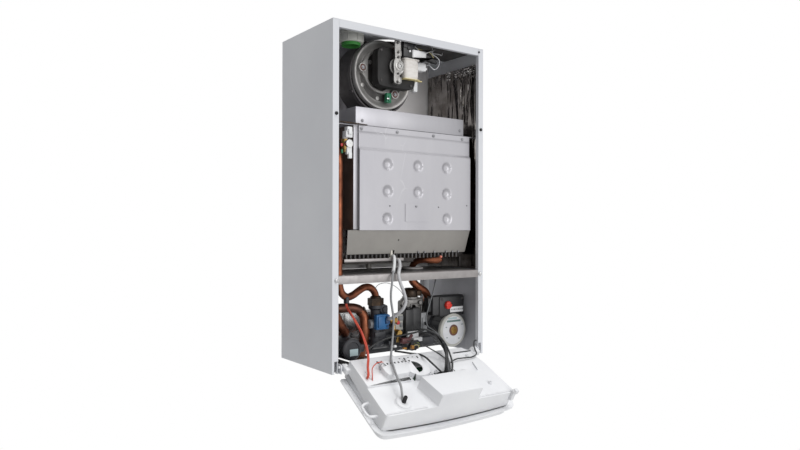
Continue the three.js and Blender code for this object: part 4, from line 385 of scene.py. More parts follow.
looks = {
    "white_paint": tint((219, 221, 225), (213, 215, 220), (0.38, 0.5), patch=3, fine=1400, bump=0.12, coat=0.05),
    "galvanised": tint((162, 158, 157), (142, 138, 137), (0.4, 0.56), metal=0.6, patch=46, spread=0.34, bump=0.15,
                       wear=0.3),
    "foil": tint((190, 188, 187), (120, 114, 110), (0.12, 0.3), metal=1, patch=18, stretch=(1, 1, 0.35), bump=0.6,
                 coarse=40, share=0.8, depth=0.003),
    "chamber_sheet": tint((173, 172, 176), (163, 162, 167), (0.36, 0.5), metal=0.65, patch=6, stretch=(1, 1, 0.3),
                          fine=1200, bump=0.12, wear=0.25, wearColour=(225, 225, 226)),
    "grey_paint": tint((158, 155, 150), (146, 143, 139), (0.45, 0.6), metal=0.3, patch=9, bump=0.15),
    "dark_steel": tint((84, 82, 82), (58, 56, 56), (0.35, 0.6), metal=0.7, patch=16, bump=0.2, wear=0.3,
                       wearColour=(130, 126, 122)),
    "stainless": tint((196, 196, 196), (168, 168, 168), (0.22, 0.36), metal=1, patch=30, bump=0.1),
    "lamination": tint((22, 20, 20), (14, 13, 13), (0.55, 0.7), metal=0.2, stretch=(0.02, 1, 0.02), patch=900,
                       fine=1600, share=0.1, bump=0.6, depth=0.0006),
    "cast_alloy": tint((140, 138, 136), (104, 102, 100), (0.4, 0.62), metal=0.8, patch=26, fine=520, bump=0.45,
                       depth=0.0006),
    "copper": tint((152, 94, 68), (86, 50, 36), (0.34, 0.56), metal=0.9, patch=26, spread=0.26, bump=0.16, wear=0.3,
                   wearColour=(186, 132, 102)),
    # painted shade: darker copper for a pipe run that lies in shadow
    "copper_painted_shade": tint((96, 62, 50), (52, 38, 34), (0.4, 0.6), metal=0.8, patch=30, bump=0.2),
    "brass": tint((182, 150, 92), (138, 108, 60), (0.26, 0.42), metal=1, patch=30, bump=0.1),
    "black_plastic": tint((34, 34, 36), (27, 27, 29), (0.36, 0.52), patch=20, bump=0.2),
    "composite": tint((62, 60, 62), (46, 45, 47), (0.42, 0.58), patch=34, bump=0.35),
    "white_plastic": tint((238, 239, 240), (232, 233, 235), (0.32, 0.44), patch=5, bump=0.1),
    "grey_plastic": tint((134, 136, 138), (124, 126, 128), (0.4, 0.5), bump=0.15),
    "blue_plastic": tint((38, 104, 160), (30, 88, 140), (0.34, 0.5), patch=30, bump=0.15),
    "red_plastic": tint((226, 58, 44), (206, 46, 36), (0.34, 0.46), bump=0.12),
    "grey_rubber": tint((92, 90, 90), (78, 76, 76), (0.6, 0.75), bump=0.25),
    "coil_tape": tint((238, 235, 231), (222, 217, 211), (0.4, 0.56), patch=40, fine=700, stretch=(1, 1, 3), bump=0.3),
    "ceramic": tint((232, 228, 218), (222, 216, 204), (0.18, 0.3), bump=0.05),
    "insulation": tint((206, 200, 186), (186, 178, 162), (0.85, 0.95), fine=420, bump=0.8, depth=0.001),
    "board": tint((44, 108, 66), (36, 92, 56), (0.35, 0.5), patch=60, bump=0.15),
    "grey_wire": tint((150, 151, 153), (132, 133, 135), (0.45, 0.6), patch=60, bump=0.2),
    "white_wire": tint((226, 227, 228), (212, 213, 215), (0.4, 0.55), patch=60, bump=0.2),
    "red_wire": tint((206, 84, 62), (184, 66, 48), (0.4, 0.55), patch=60, bump=0.15),
    "black_wire": tint((40, 41, 42), (30, 31, 32), (0.36, 0.5), patch=60, bump=0.15),
    "green_plastic": tint((36, 132, 92), (28, 112, 78), (0.4, 0.52), bump=0.15),
    "green_rubber": tint((58, 140, 58), (46, 118, 48), (0.5, 0.65), bump=0.2),
    "black_screw": tint((30, 30, 31), (46, 46, 47), (0.3, 0.45), metal=0.6, bump=0.1),
    "bright_screw": tint((206, 206, 206), (176, 176, 178), (0.2, 0.34), metal=1, bump=0.1),
    "rear_sheet": tint((232, 229, 228), (220, 217, 216), (0.5, 0.62), patch=12, bump=0.1),
    # painted shade: dark brown for the shell's walls, which are the same sheet as the cover
    "shell_painted_shade": tint((92, 72, 62), (66, 50, 44), (0.5, 0.7), patch=20, bump=0.3),
    # painted highlight: the crushed foil edge's bright colour stands for light catching its crinkles
    "foil_painted_highlight": tint((236, 234, 232), (200, 198, 196), (0.12, 0.24), metal=1, patch=60, bump=0.1),
    "mirror_foil": tint((172, 168, 165), (112, 106, 102), (0.08, 0.2), metal=1, patch=30, bump=0.1),
    "black_blue": tint((46, 47, 52), (34, 35, 40), (0.4, 0.6), patch=20, bump=0.2),
    "nut_brown": tint((78, 62, 48), (48, 41, 36), (0.35, 0.55), metal=0.8, patch=60, bump=0.3),
    "red_dot": tint((206, 66, 66), (190, 56, 58), (0.4, 0.5), bump=0.05),
    "green_wire": tint((120, 138, 52), (98, 118, 44), (0.4, 0.55), bump=0.05),
    "label_ring": tint((222, 222, 224), (206, 208, 212), (0.35, 0.5), patch=30, bump=0.05),
    "pale_blue": tint((188, 206, 208), (170, 190, 194), (0.4, 0.5), bump=0.05),
    "blue_dark": tint((34, 62, 100), (26, 50, 84), (0.4, 0.55), bump=0.1),
    "pump_bar": tint((110, 132, 130), (92, 114, 112), (0.4, 0.55), bump=0.05),
    "intake_grey": tint((196, 196, 190), (180, 180, 174), (0.45, 0.6), bump=0.15),
    "fan_paint": tint((84, 81, 82), (66, 63, 64), (0.4, 0.58), metal=0.35, patch=18, bump=0.25, wear=0.3,
                      wearColour=(120, 116, 113)),
    "mount_rubber": tint((116, 72, 62), (92, 56, 48), (0.5, 0.7), bump=0.2),
    "bright_cast": tint((176, 175, 173), (134, 132, 130), (0.3, 0.48), metal=0.85, patch=60, fine=600, bump=0.35),
    "yellow_wire": tint((206, 196, 150), (190, 180, 132), (0.4, 0.55), bump=0.1),
    "plate_cast": tint((176, 174, 172), (142, 140, 138), (0.42, 0.6), metal=0.55, patch=26, fine=520, bump=0.4,
                       depth=0.0006, wear=0.3, wearColour=(216, 214, 212)),
    "panel_white": tint((228, 229, 231), (222, 223, 226), (0.42, 0.52), patch=8, fine=900, bump=0.2, depth=0.0004),
    "slot_shade": tint((28, 28, 30), (22, 22, 24), (0.7, 0.8), bump=0.05),
    "wall_shade": tint((176, 177, 183), (160, 161, 166), (0.5, 0.7), metal=0.2, patch=12, bump=0.15),
    "plug_white": tint((250, 250, 250), (244, 244, 246), (0.3, 0.42), bump=0.05),
    "bobbin_cream": tint((226, 212, 156), (214, 196, 136), (0.4, 0.5), bump=0.1),
    "copper_pink": tint((206, 128, 112), (180, 104, 90), (0.4, 0.55), metal=0.4, bump=0.1),
    # painted shade: darker tone for the plate's flat field between its ring and rim
    "plate_painted_shade": tint((92, 90, 89), (66, 64, 63), (0.45, 0.62), metal=0.5, patch=30, fine=520, bump=0.4,
                       depth=0.0006),
    # painted shade: dark tone for the ceiling's underside
    "ceiling_painted_shade": tint((88, 86, 85), (74, 72, 71), (0.5, 0.65), metal=0.2, patch=12, bump=0.15),
    "clip_maroon": tint((96, 48, 50), (72, 36, 38), (0.45, 0.6), bump=0.15),
    "amber": tint((196, 140, 52), (160, 110, 40), (0.35, 0.5), bump=0.15),
    "pale_wire": tint((200, 200, 202), (178, 178, 181), (0.42, 0.56), patch=60, bump=0.2),
    "capillary_grey": tint((104, 106, 108), (78, 80, 82), (0.35, 0.5), metal=0.3, patch=60, bump=0.15),
    "burner_dark": tint((58, 54, 52), (38, 35, 34), (0.5, 0.7), metal=0.4, patch=30, bump=0.3),
    "screw_grey": tint((150, 150, 153), (112, 112, 115), (0.3, 0.45), metal=0.9, patch=60, bump=0.1),
    "ring_grey": tint((176, 174, 172), (150, 148, 147), (0.5, 0.65), patch=40, bump=0.2),
    "label": tint((232, 233, 234), (226, 227, 229), (0.4, 0.5), patch=30, bump=0.05),
}
finishes = {name: makeFinish(name, look) for name, look in looks.items()}
for part in frame["record"]["subparts"]:
    for holder in nodes[part["node"]].material_slots:
        holder.material = finishes[part["material_slot"]]
print("finishes made")


# Light and floor
studio = {"around": 0.42, "keyPower": 1.5, "keyFrom": (0.1, -0.2, 1), "keyWidth": 0.7, "fillPower": 1.25,
          "fillFrom": (0.12, -1.0, 0.16), "floorDrop": 0.9, "floorRadius": 1.5, "floorY": -0.2,
          "floorFinish": tint((246, 246, 246), (246, 246, 246), (0.7, 0.8), bump=0)}


def makeStudio(look):
    world = bpy.data.worlds.new("studio")
    world.use_nodes = True
    scene.world = world
    tree = world.node_tree
    tree.nodes.clear()
    path = addNode(tree, "ShaderNodeLightPath")
    seen = addNode(tree, "ShaderNodeMath", operation="MAXIMUM")
    shown = addNode(tree, "ShaderNodeMath", operation="MAXIMUM")
    soft = addNode(tree, "ShaderNodeBackground", {"Color": (1, 1, 1, 1), "Strength": look["around"]})
    white = addNode(tree, "ShaderNodeBackground", {"Color": (1, 1, 1, 1)})
    mix = addNode(tree, "ShaderNodeMixShader")
    out = addNode(tree, "ShaderNodeOutputWorld")
    join(tree, (path, "Is Camera Ray", seen, 0), (path, "Is Glossy Ray", seen, 1), (seen, 0, shown, 0),
         (path, "Is Transmission Ray", shown, 1), (shown, 0, mix, "Fac"), (soft, 0, mix, 1), (white, 0, mix, 2),
         (mix, 0, out, "Surface"))
    for name, power, source in (("key", look["keyPower"], look["keyFrom"]),
                                ("fill", look["fillPower"], look["fillFrom"])):
        lamp = bpy.data.lights.new(name, "SUN")
        lamp.energy, lamp.angle = power, look["keyWidth"]
        holder = bpy.data.objects.new(name, lamp)
        holder.matrix_world = Vector(source).to_track_quat("Z", "Y").to_matrix().to_4x4()
        scene.collection.objects.link(holder)
    scene.view_settings.view_transform = "Standard"
    low = cadBounds[0]
    bm = bmesh.new()
    bmesh.ops.create_circle(bm, cap_ends=True, segments=96, radius=look["floorRadius"])
    bmesh.ops.translate(bm, vec=(0, look["floorY"], low[2] - look["floorDrop"]), verts=bm.verts)
    mesh = bpy.data.meshes.new("floor")
    bm.to_mesh(mesh)
    bm.free()
    mesh.materials.append(makeFinish("floor", look["floorFinish"]))
    floor = bpy.data.objects.new("floor", mesh)
    scene.collection.objects.link(floor)


makeStudio(studio)
print("studio made")


# The free leads, each along the points of its CAD solid
strands = 3
electrodeLead = {"diameter": 4.6, "sleeve": 3.4, "sleevePoints": 5, "points": [
    (-30, -183.5, 227), (-31, -190.8, 227.2), (-35, -198.5, 217), (-43, -208, 203.5), (-54, -221, 197),
    (-62, -229.5, 186), (-65, -231.5, 172), (-67, -231, 154), (-66, -230, 138), (-62, -229.5, 117), (-59, -229.5, 97),
    (-61, -230, 72), (-65, -232.5, 50), (-73, -241, 34), (-88, -261, 26), (-100, -287, 14),
    (-107, -308, 0), (-111, -326, -13), (-115, -335.5, -28), (-116.5, -338.8, -38)]}
sensorLead = {"diameter": 7, "points": [
    (-20, -188.6, 218.5), (-20, -194, 218.5), (-26, -206, 208), (-36, -218, 202), (-45, -228, 194),
    (-47, -231.5, 184),
    (-43, -232, 172), (-34, -232, 152), (-29, -231, 134), (-32, -228, 121), (-36, -222, 112), (-40, -214, 106),
    (-43, -203, 98), (-44, -196, 95.5), (-44, -190.5, 95)]}
redLead = {"diameter": 5.4, "wire": 1.35, "turns": 1.6, "points": [
    (-146, -183.5, 136.8), (-146, -186, 128), (-143.5, -196, 115), (-141, -209, 101), (-137, -223, 84),
    (-135, -234, 66), (-136, -247, 49), (-142, -260, 33), (-151, -273, 21), (-156, -281, 13), (-158, -284.5, 5.2),
    (-158, -281.4, -1.2)]}
blackLead = {"diameter": 8.4, "wire": 2.1, "turns": 0.6, "points": [
    (80, -150.6, 72), (79, -162, 72), (75, -180, 69.5), (71, -198, 64), (69, -215, 54), (67, -231, 44),
    (60, -248, 37), (50, -264, 33), (41, -279, 27), (34, -289, 17), (31, -292, 4), (31, -291, -8),
    (31, -289.3, -19.3)]}
earthLead = {"diameter": 3, "points": [
    (185.4, -214, 30), (180, -214.5, 29.5), (171, -222, 23), (160, -238, 15), (150, -254, 10.5), (138, -262, 8),
    (126, -264, 6), (112, -264.5, 6.5), (98, -264.5, 7), (82, -265, 7), (71, -266.5, 5), (62, -269.6, 2.6)]}


def inMetres(points):
    return [inCase @ Vector(point) for point in points]


def twisted(line, offset, turns, start):
    # The same line moved sideways, turning slowly round it
    made = []
    side = (line[1] - line[0]).orthogonal().normalized()
    for i, place in enumerate(line):
        way = (line[min(i + 1, len(line) - 1)] - line[max(i - 1, 0)]).normalized()
        side = (side - way * side.dot(way)).normalized()
        angle = start + turns * 2 * math.pi * i / (len(line) - 1)
        made.append(place + (side * math.cos(angle) + way.cross(side) * math.sin(angle)) * offset)
    return made


def makeCord(name, look, finish, replaces=(), slot=None, body=None, sides=14):
    # With no body of its own a lead runs from the casing to the panel, and is joined to neither
    line = openRoute(inMetres(look["points"]))
    radius = look["diameter"] / 2 * mm
    if "wire" in look:
        wire = look["wire"] * mm
        lines = [twisted(line, radius - wire, look["turns"], k / strands * 2 * math.pi) for k in range(strands)]
        mesh = tubeMesh(name, lines, wire, 10)
    else:
        mesh = tubeMesh(name, [line], radius, sides)
    made = finishPiece(mesh, name, finish, body, slot=slot, smooth=70, replaces=replaces)
    if body is None:
        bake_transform(made)


makeCord("electrode_cable", electrodeLead, "grey_wire", ("electrode_lead",))
sleeveLine = openRoute(inMetres(electrodeLead["points"][:electrodeLead["sleevePoints"]]))
finishPiece(tubeMesh("electrode_sleeve", [sleeveLine], electrodeLead["sleeve"] * mm, 16), "electrode_sleeve",
            "white_wire", slot="grey_wire", smooth=70)
makeCord("sensor_cable", sensorLead, "pale_wire", ("sensor_lead",), slot="grey_wire", body="case")
makeCord("red_cable", redLead, "red_wire", ("red_lead",))
makeCord("black_cable", blackLead, "black_wire", ("black_lead",))
makeCord("earth_cable", earthLead, "black_wire", ("earth_lead",), slot="grey_wire")
print("leads made")


# The casing: screws, hinge balls, the crinkled foil and the intake cap
casing = {"blackScrews": [(-192, 513), (192.5, 514)], "brightScrews": [(-191, 183), (191, 183)],
          "stripScrew": (186.5, 691.5), "front": -220.4, "screw": 3.6, "ball": 5.6, "hingeX": (-169, 168)}


def makeCasing(look):
    build("casing_black_screws", "black_screw",
          *((screwIn, (x, look["front"], z), (0, -1, 0), look["screw"], 2.8) for x, z in look["blackScrews"]),
          (screwIn, (look["stripScrew"][0], look["front"], look["stripScrew"][1]), (0, -1, 0), look["screw"] * 0.7,
           1.8), slot="dark_steel")
    bm = bmesh.new()
    for x, z in look["brightScrews"]:
        rodIn(bm, (x, look["front"] + 0.2, z), (x, look["front"] - 0.8, z), look["screw"] * 1.35, segments=24)
        screwIn(bm, (x, look["front"] - 0.7, z), (0, -1, 0), look["screw"], 2.6)
    finishPiece(bm, "casing_bright_screws", "bright_screw", slot="stainless")
    bm = bmesh.new()
    for x in look["hingeX"]:
        made = bmesh.ops.create_uvsphere(bm, u_segments=24, v_segments=14, radius=look["ball"])["verts"]
        bmesh.ops.translate(bm, vec=(x, -220, 13), verts=made)
        rodIn(bm, (x - 7, -220, 13), (x + 7, -220, 13), 2.9)
    finishPiece(bm, "hinge_balls", "white_plastic", "control_panel")


makeCasing(casing)

foilSheet = {"x": 195.2, "front": -205, "back": -23, "bottom": 194, "top": 667, "across": 150, "up": 70, "seed": 3,
             "creases": 90, "lean": 0.16, "clear": 60, "reach": (50, 190), "crumples": 110, "band": 34,
             "crumpleReach": (6, 22), "dent": 1.6, "rise": 3.4, "sheet": 0.3}


def makeFoil(look):
    # A thin sheet pressed on the wall, crumpled along sharp creases
    bm = bmesh.new()
    bmesh.ops.create_grid(bm, x_segments=look["across"], y_segments=look["up"], size=0.5)
    width, height = look["back"] - look["front"], look["top"] - look["bottom"]
    bmesh.ops.scale(bm, vec=(width, height, 1), verts=bm.verts)
    bmesh.ops.rotate(bm, cent=(0, 0, 0), matrix=Matrix(((0, 0, -1), (1, 0, 0), (0, 1, 0))), verts=bm.verts)
    bmesh.ops.translate(bm, vec=(look["x"], (look["front"] + look["back"]) / 2, (look["top"] + look["bottom"]) / 2),
                        verts=bm.verts)
    chance = random.Random(look["seed"])
    lines = []
    for _ in range(look["creases"]):
        # Long upright creases, narrow and sharp
        lean = chance.uniform(-look["lean"], look["lean"])
        lines.append((chance.uniform(look["front"], look["back"]),
                      chance.uniform(look["bottom"] + look["clear"], look["top"]), math.sin(lean), math.cos(lean),
                      chance.uniform(0.5, 1.6) * chance.choice((-0.7, 1)), chance.uniform(2, 8),
                      chance.uniform(*look["reach"])))
    for _ in range(look["crumples"]):
        # Small crumples along the top edge
        lean = chance.uniform(0, math.pi)
        lines.append((chance.uniform(look["front"], look["back"]), look["top"] - chance.uniform(0, look["band"]),
                      math.sin(lean), math.cos(lean), chance.uniform(0.5, 1.5) * chance.choice((-0.8, 1)),
                      chance.uniform(2, 7), chance.uniform(*look["crumpleReach"])))
    for vert in bm.verts:
        rise = 0
        for y, z, leanY, leanZ, depth, width, reach in lines:
            along, up = vert.co.y - y, vert.co.z - z
            run, off = along * leanY + up * leanZ, along * leanZ - up * leanY
            if abs(run) < reach and abs(off) < width:
                rise += depth * (1 - abs(off) / width) * (1 - (run / reach) ** 2)
        vert.co.x -= min(max(rise, -look["dent"]), look["rise"])
    bmesh.ops.solidify(bm, geom=bm.faces, thickness=-look["sheet"])
    finishPiece(bm, "foil_sheet", "mirror_foil", slot="foil", smooth=16, replaces=("foil_liner",))


makeFoil(foilSheet)

foilEdge = {"x": 193.4, "front": -204.5, "back": -96, "bottom": 646, "top": 668.5, "across": 46, "up": 9,
            "rise": 2.6, "ragged": 5, "shift": 0.9, "sheet": 0.25, "seed": 11}


def makeFoilEdge(look):
    # The sheet's crushed upper edge, coloured brighter than the rest as a painted highlight
    bm = bmesh.new()
    bmesh.ops.create_grid(bm, x_segments=look["across"], y_segments=look["up"], size=0.5)
    chance = random.Random(look["seed"])
    wide, tall = look["back"] - look["front"], look["top"] - look["bottom"]
    for vert in bm.verts:
        along, up = vert.co.x + 0.5, vert.co.y + 0.5
        ragged = chance.uniform(-look["ragged"], look["ragged"]) if up < 0.01 else 0
        vert.co = Vector((look["x"] + chance.uniform(0, look["rise"]),
                          look["front"] + along * wide + chance.uniform(-look["shift"], look["shift"]),
                          look["bottom"] + up * tall + ragged))
    bmesh.ops.solidify(bm, geom=bm.faces, thickness=look["sheet"])
    finishPiece(bm, "foil_crushed_edge", "foil_painted_highlight", slot="foil", smooth=8)


makeFoilEdge(foilEdge)
# A thin dark sheet under the right part of the ceiling: painted shade on the top panel's underside
build("ceiling_shade_sheet", "ceiling_painted_shade", (boxIn, (8, -218.6, 698), (198.6, -84, 698.5)), slot="grey_paint")

intakeCap = {"x": -121, "y": -160, "cup": 27, "top": 698.5, "cupDeep": 23.5, "seal": 20, "sealDeep": 6}


def makeIntake(look):
    bm = bmesh.new()
    top, low = look["top"], look["top"] - look["cupDeep"]
    turnIn(bm, [(0, top), (look["cup"] - 0.8, top), (look["cup"], top - 1), (look["cup"], top - 6),
                (look["cup"] - 1, top - 7), (look["cup"] - 1, low + 1), (look["cup"] - 2, low),
                (look["seal"] - 3, low), (look["seal"] - 3, top - 3), (0, top - 3)], (look["x"], look["y"], 0), "z")
    for k in range(8):
        angle = k * math.pi / 4
        spot = Vector((look["x"] + math.cos(angle) * (look["cup"] - 0.9),
                       look["y"] + math.sin(angle) * (look["cup"] - 0.9), 0))
        rodIn(bm, spot + Vector((0, 0, low + 2)), spot + Vector((0, 0, top - 8)), 1.3, segments=8)
    turnIn(bm, [(0, 699), (22.5, 699), (22.5, 702.2), (0, 702.2)], (look["x"], look["y"], 0), "z")
    finishPiece(bm, "intake_cup", "intake_grey", slot="grey_plastic", replaces=("intake_cap",))
    bm = bmesh.new()
    seal, bottom = look["seal"], low - look["sealDeep"]
    turnIn(bm, [(seal - 3.6, low + 3), (seal - 3.6, bottom + 1), (seal - 2.4, bottom), (seal - 0.6, bottom),
                (seal, bottom + 0.8), (seal, bottom + 2.4), (seal - 0.8, bottom + 3.2), (seal, bottom + 4),
                (seal, low + 3)], (look["x"], look["y"], 0), "z")
    finishPiece(bm, "intake_seal", "green_rubber", slot="grey_rubber")


makeIntake(intakeCap)
print("casing pieces made")


# The extractor fan
fanDrum = {"x": -37, "z": 616.5, "radius": 80, "front": -149, "back": -87, "neckX": 0, "neckY": -117, "neck": 31.6,
           "neckTop": 697}
fanHub = (-28, 632)
fanPlate = {"x": -37, "z": 619.5, "radius": 76, "middle": (-38.5, 628), "face": -152.3, "ring": 46, "boss": 9.5,
            "bossAt": 55.6, "bossAngles": (180, -60, 60), "bossFront": -164.3}


def makeFan(drum, plate):
    x, z, wide, front, back = drum["x"], drum["z"], drum["radius"], drum["front"], drum["back"]
    bm = bmesh.new()
    turnIn(bm, [(33, back + 0.2), (wide - 5, back), (wide - 1.5, back - 1.5), (wide, back - 5), (wide, front + 7),
                (wide - 1.2, front + 6.2), (wide - 1.2, front + 4.2), (wide, front + 3.4), (wide, front + 1),
                (wide - 1, front), (wide - 3.5, front), (wide - 3.5, front + 6), (wide - 2.6, front + 8),
                (wide - 2.6, back - 5), (wide - 6, back - 2), (33, back - 2)], (x, 0, z), "y", 72)
    for angle in (28, 118, 208, 298):
        spot = onCircle(x, z, wide, angle)
        rodIn(bm, spot + Vector((0, front + 2, 0)), spot + Vector((0, front + 16, 0)), 2.6, segments=10)
    turnIn(bm, [(drum["neck"] - 1.4, z + 74), (drum["neck"], z + 74), (drum["neck"], drum["neckTop"] - 2),
                (drum["neck"] + 1.6, drum["neckTop"] - 1.2), (drum["neck"] + 1.6, drum["neckTop"]),
                (drum["neck"] - 1.4, drum["neckTop"])], (drum["neckX"], drum["neckY"], 0), "z")
    finishPiece(bm, "fan_drum", "fan_paint", slot="dark_steel", smooth=35, replaces=("fan_volute",))

    bm = bmesh.new()
    face, back = plate["face"], -149.3
    turnIn(bm, [(0, back), (0, face + 1.4), (56, face + 1.4), (61, face - 0.2), (65, face - 3.4), (68.6, face - 6.4),
                (71.5, face - 7.6), (74, face - 7.2), (75.6, face - 5), (plate["radius"], face - 1),
                (plate["radius"], back)], (plate["x"], 0, plate["z"]), "y", 96)
    hubX, hubZ = plate["middle"]
    ring = plate["ring"]
    turnIn(bm, [(ring - 4, face + 2), (ring - 3.2, face - 4.4), (ring - 1.6, face - 6), (ring + 1.4, face - 6),
                (ring + 3, face - 4.6), (ring + 4.2, face + 2)], (hubX, 0, hubZ), "y", 72)
    for degrees in plate["bossAngles"]:
        angle = math.radians(degrees)
        out = Vector((math.cos(angle), 0, math.sin(angle)))
        side = Vector((-out.z, 0, out.x))
        boss = Vector((hubX, 0, hubZ)) + out * plate["bossAt"]
        outline = []
        for share in (-1, 1):
            turned = angle + share * math.radians(36)
            near = Vector((hubX + (ring + 1) * math.cos(turned), 0, hubZ + (ring + 1) * math.sin(turned)))
            middle = Vector((hubX + (ring + 4.5) * math.cos(angle + share * math.radians(19)), 0,
                             hubZ + (ring + 4.5) * math.sin(angle + share * math.radians(19))))
            edge = boss + side * share * (plate["boss"] - 1)
            outline += [near, middle, edge] if share < 0 else [edge, middle, near]
        plateIn(bm, [(spot.x, spot.z) for spot in outline], "front", face - 5.4, face + 2)
        wide = plate["boss"]
        turnIn(bm, [(0, back), (wide + 1.6, back), (wide, face - 6), (wide - 0.6, plate["bossFront"] + 0.6),
                    (wide - 1.4, plate["bossFront"]), (wide - 2.6, plate["bossFront"]),
                    (wide - 3, plate["bossFront"] + 2.4), (0, plate["bossFront"] + 2.4)], (boss.x, 0, boss.z), "y",
               36)
    for angle, away in ((15, 62), (-28, 63), (-100, 60), (-125, 30), (150, 34), (215, 60)):
        spot = onCircle(hubX, hubZ, away, angle)
        turnIn(bm, [(0, face + 2), (5, face + 2), (4.4, face - 1.2), (3, face - 1.6), (0, face - 1.6)], spot, "y", 18)
    finishPiece(bm, "fan_front_plate", "plate_cast", slot="cast_alloy", replaces=("fan_motor_plate",), smooth=35)
    # A thin darker disc over the flat field between the ring and the rim: painted shade
    build("plate_shade_disc", "plate_painted_shade",
          (turnIn, [(0, face + 1.5), (0, face + 1.1), (56.4, face + 1.1), (56.4, face + 1.5)],
           (plate["x"], 0, plate["z"]), "y", 72), slot="cast_alloy")
    tip = plate["bossFront"]
    bosses = [onCircle(hubX, hubZ, plate["bossAt"], degrees) for degrees in plate["bossAngles"]]
    build("fan_boss_rims", "bright_cast",
          *((turnIn, [(6.9, tip + 3), (9.9, tip + 3), (9.9, tip - 0.4), (9.2, tip - 1.2), (7.6, tip - 1.2),
                      (6.9, tip - 0.4)], spot, "y", 36) for spot in bosses), slot="cast_alloy")
    build("flue_foil_ring", "mirror_foil",
          (turnIn, [(32.6, 0.4), (36, -1.2), (40, 0.6), (44, -0.8), (49, 0.2), (49, 1.2), (32.6, 1.4)],
           (0, -117, 694), "z", 60), slot="foil")

    rubber, bolts = bmesh.new(), bmesh.new()
    for spot in bosses:
        turnIn(rubber, [(0, tip + 2.6), (6.6, tip + 2.6), (6.8, tip - 0.2), (6, tip - 1.2), (0, tip - 1.2)], spot,
               "y", 28)
        turnIn(bolts, [(0, tip - 1), (4.6, tip - 1), (4.6, tip - 1.9), (2.9, tip - 2), (2.7, tip - 3.8),
                       (0, tip - 4)], spot, "y", 6)
    finishPiece(rubber, "fan_mount_rubbers", "mount_rubber", slot="grey_rubber")
    finishPiece(bolts, "fan_mount_bolts", "screw_grey", slot="stainless", smooth=20)


makeFan(fanDrum, fanPlate)

motor = {"front": -191, "coilLeft": -12.7, "coilRight": 32,
         "coilFront": -203, "coilBack": -158, "coilBottom": 608.8, "coilTop": 653.7}
bearingStrip = {"front": -206.5, "thick": 3, "outline": [
    (-10, 594), (-3, 594), (-1, 600), (-1, 611), (1, 617), (8, 623.5), (10, 632), (8, 640.5), (2, 646), (2, 652),
    (3, 670),
    (1, 685), (-3, 690), (-8, 690), (-12, 685), (-13, 670), (-12, 652), (-12, 646), (-14.5, 640.5), (-15.5, 632),
    (-14.5, 623.5), (-14, 617), (-15, 611), (-15, 600), (-13, 595)],
    "ridges": [((-1.6, 600), (-1.2, 611)), ((-14.2, 600), (-14.2, 611)), ((1.2, 648), (2, 670)),
               ((2, 670), (0.2, 684)), ((-11.4, 648), (-12.2, 670)), ((-12.2, 670), (-11.2, 684))]}


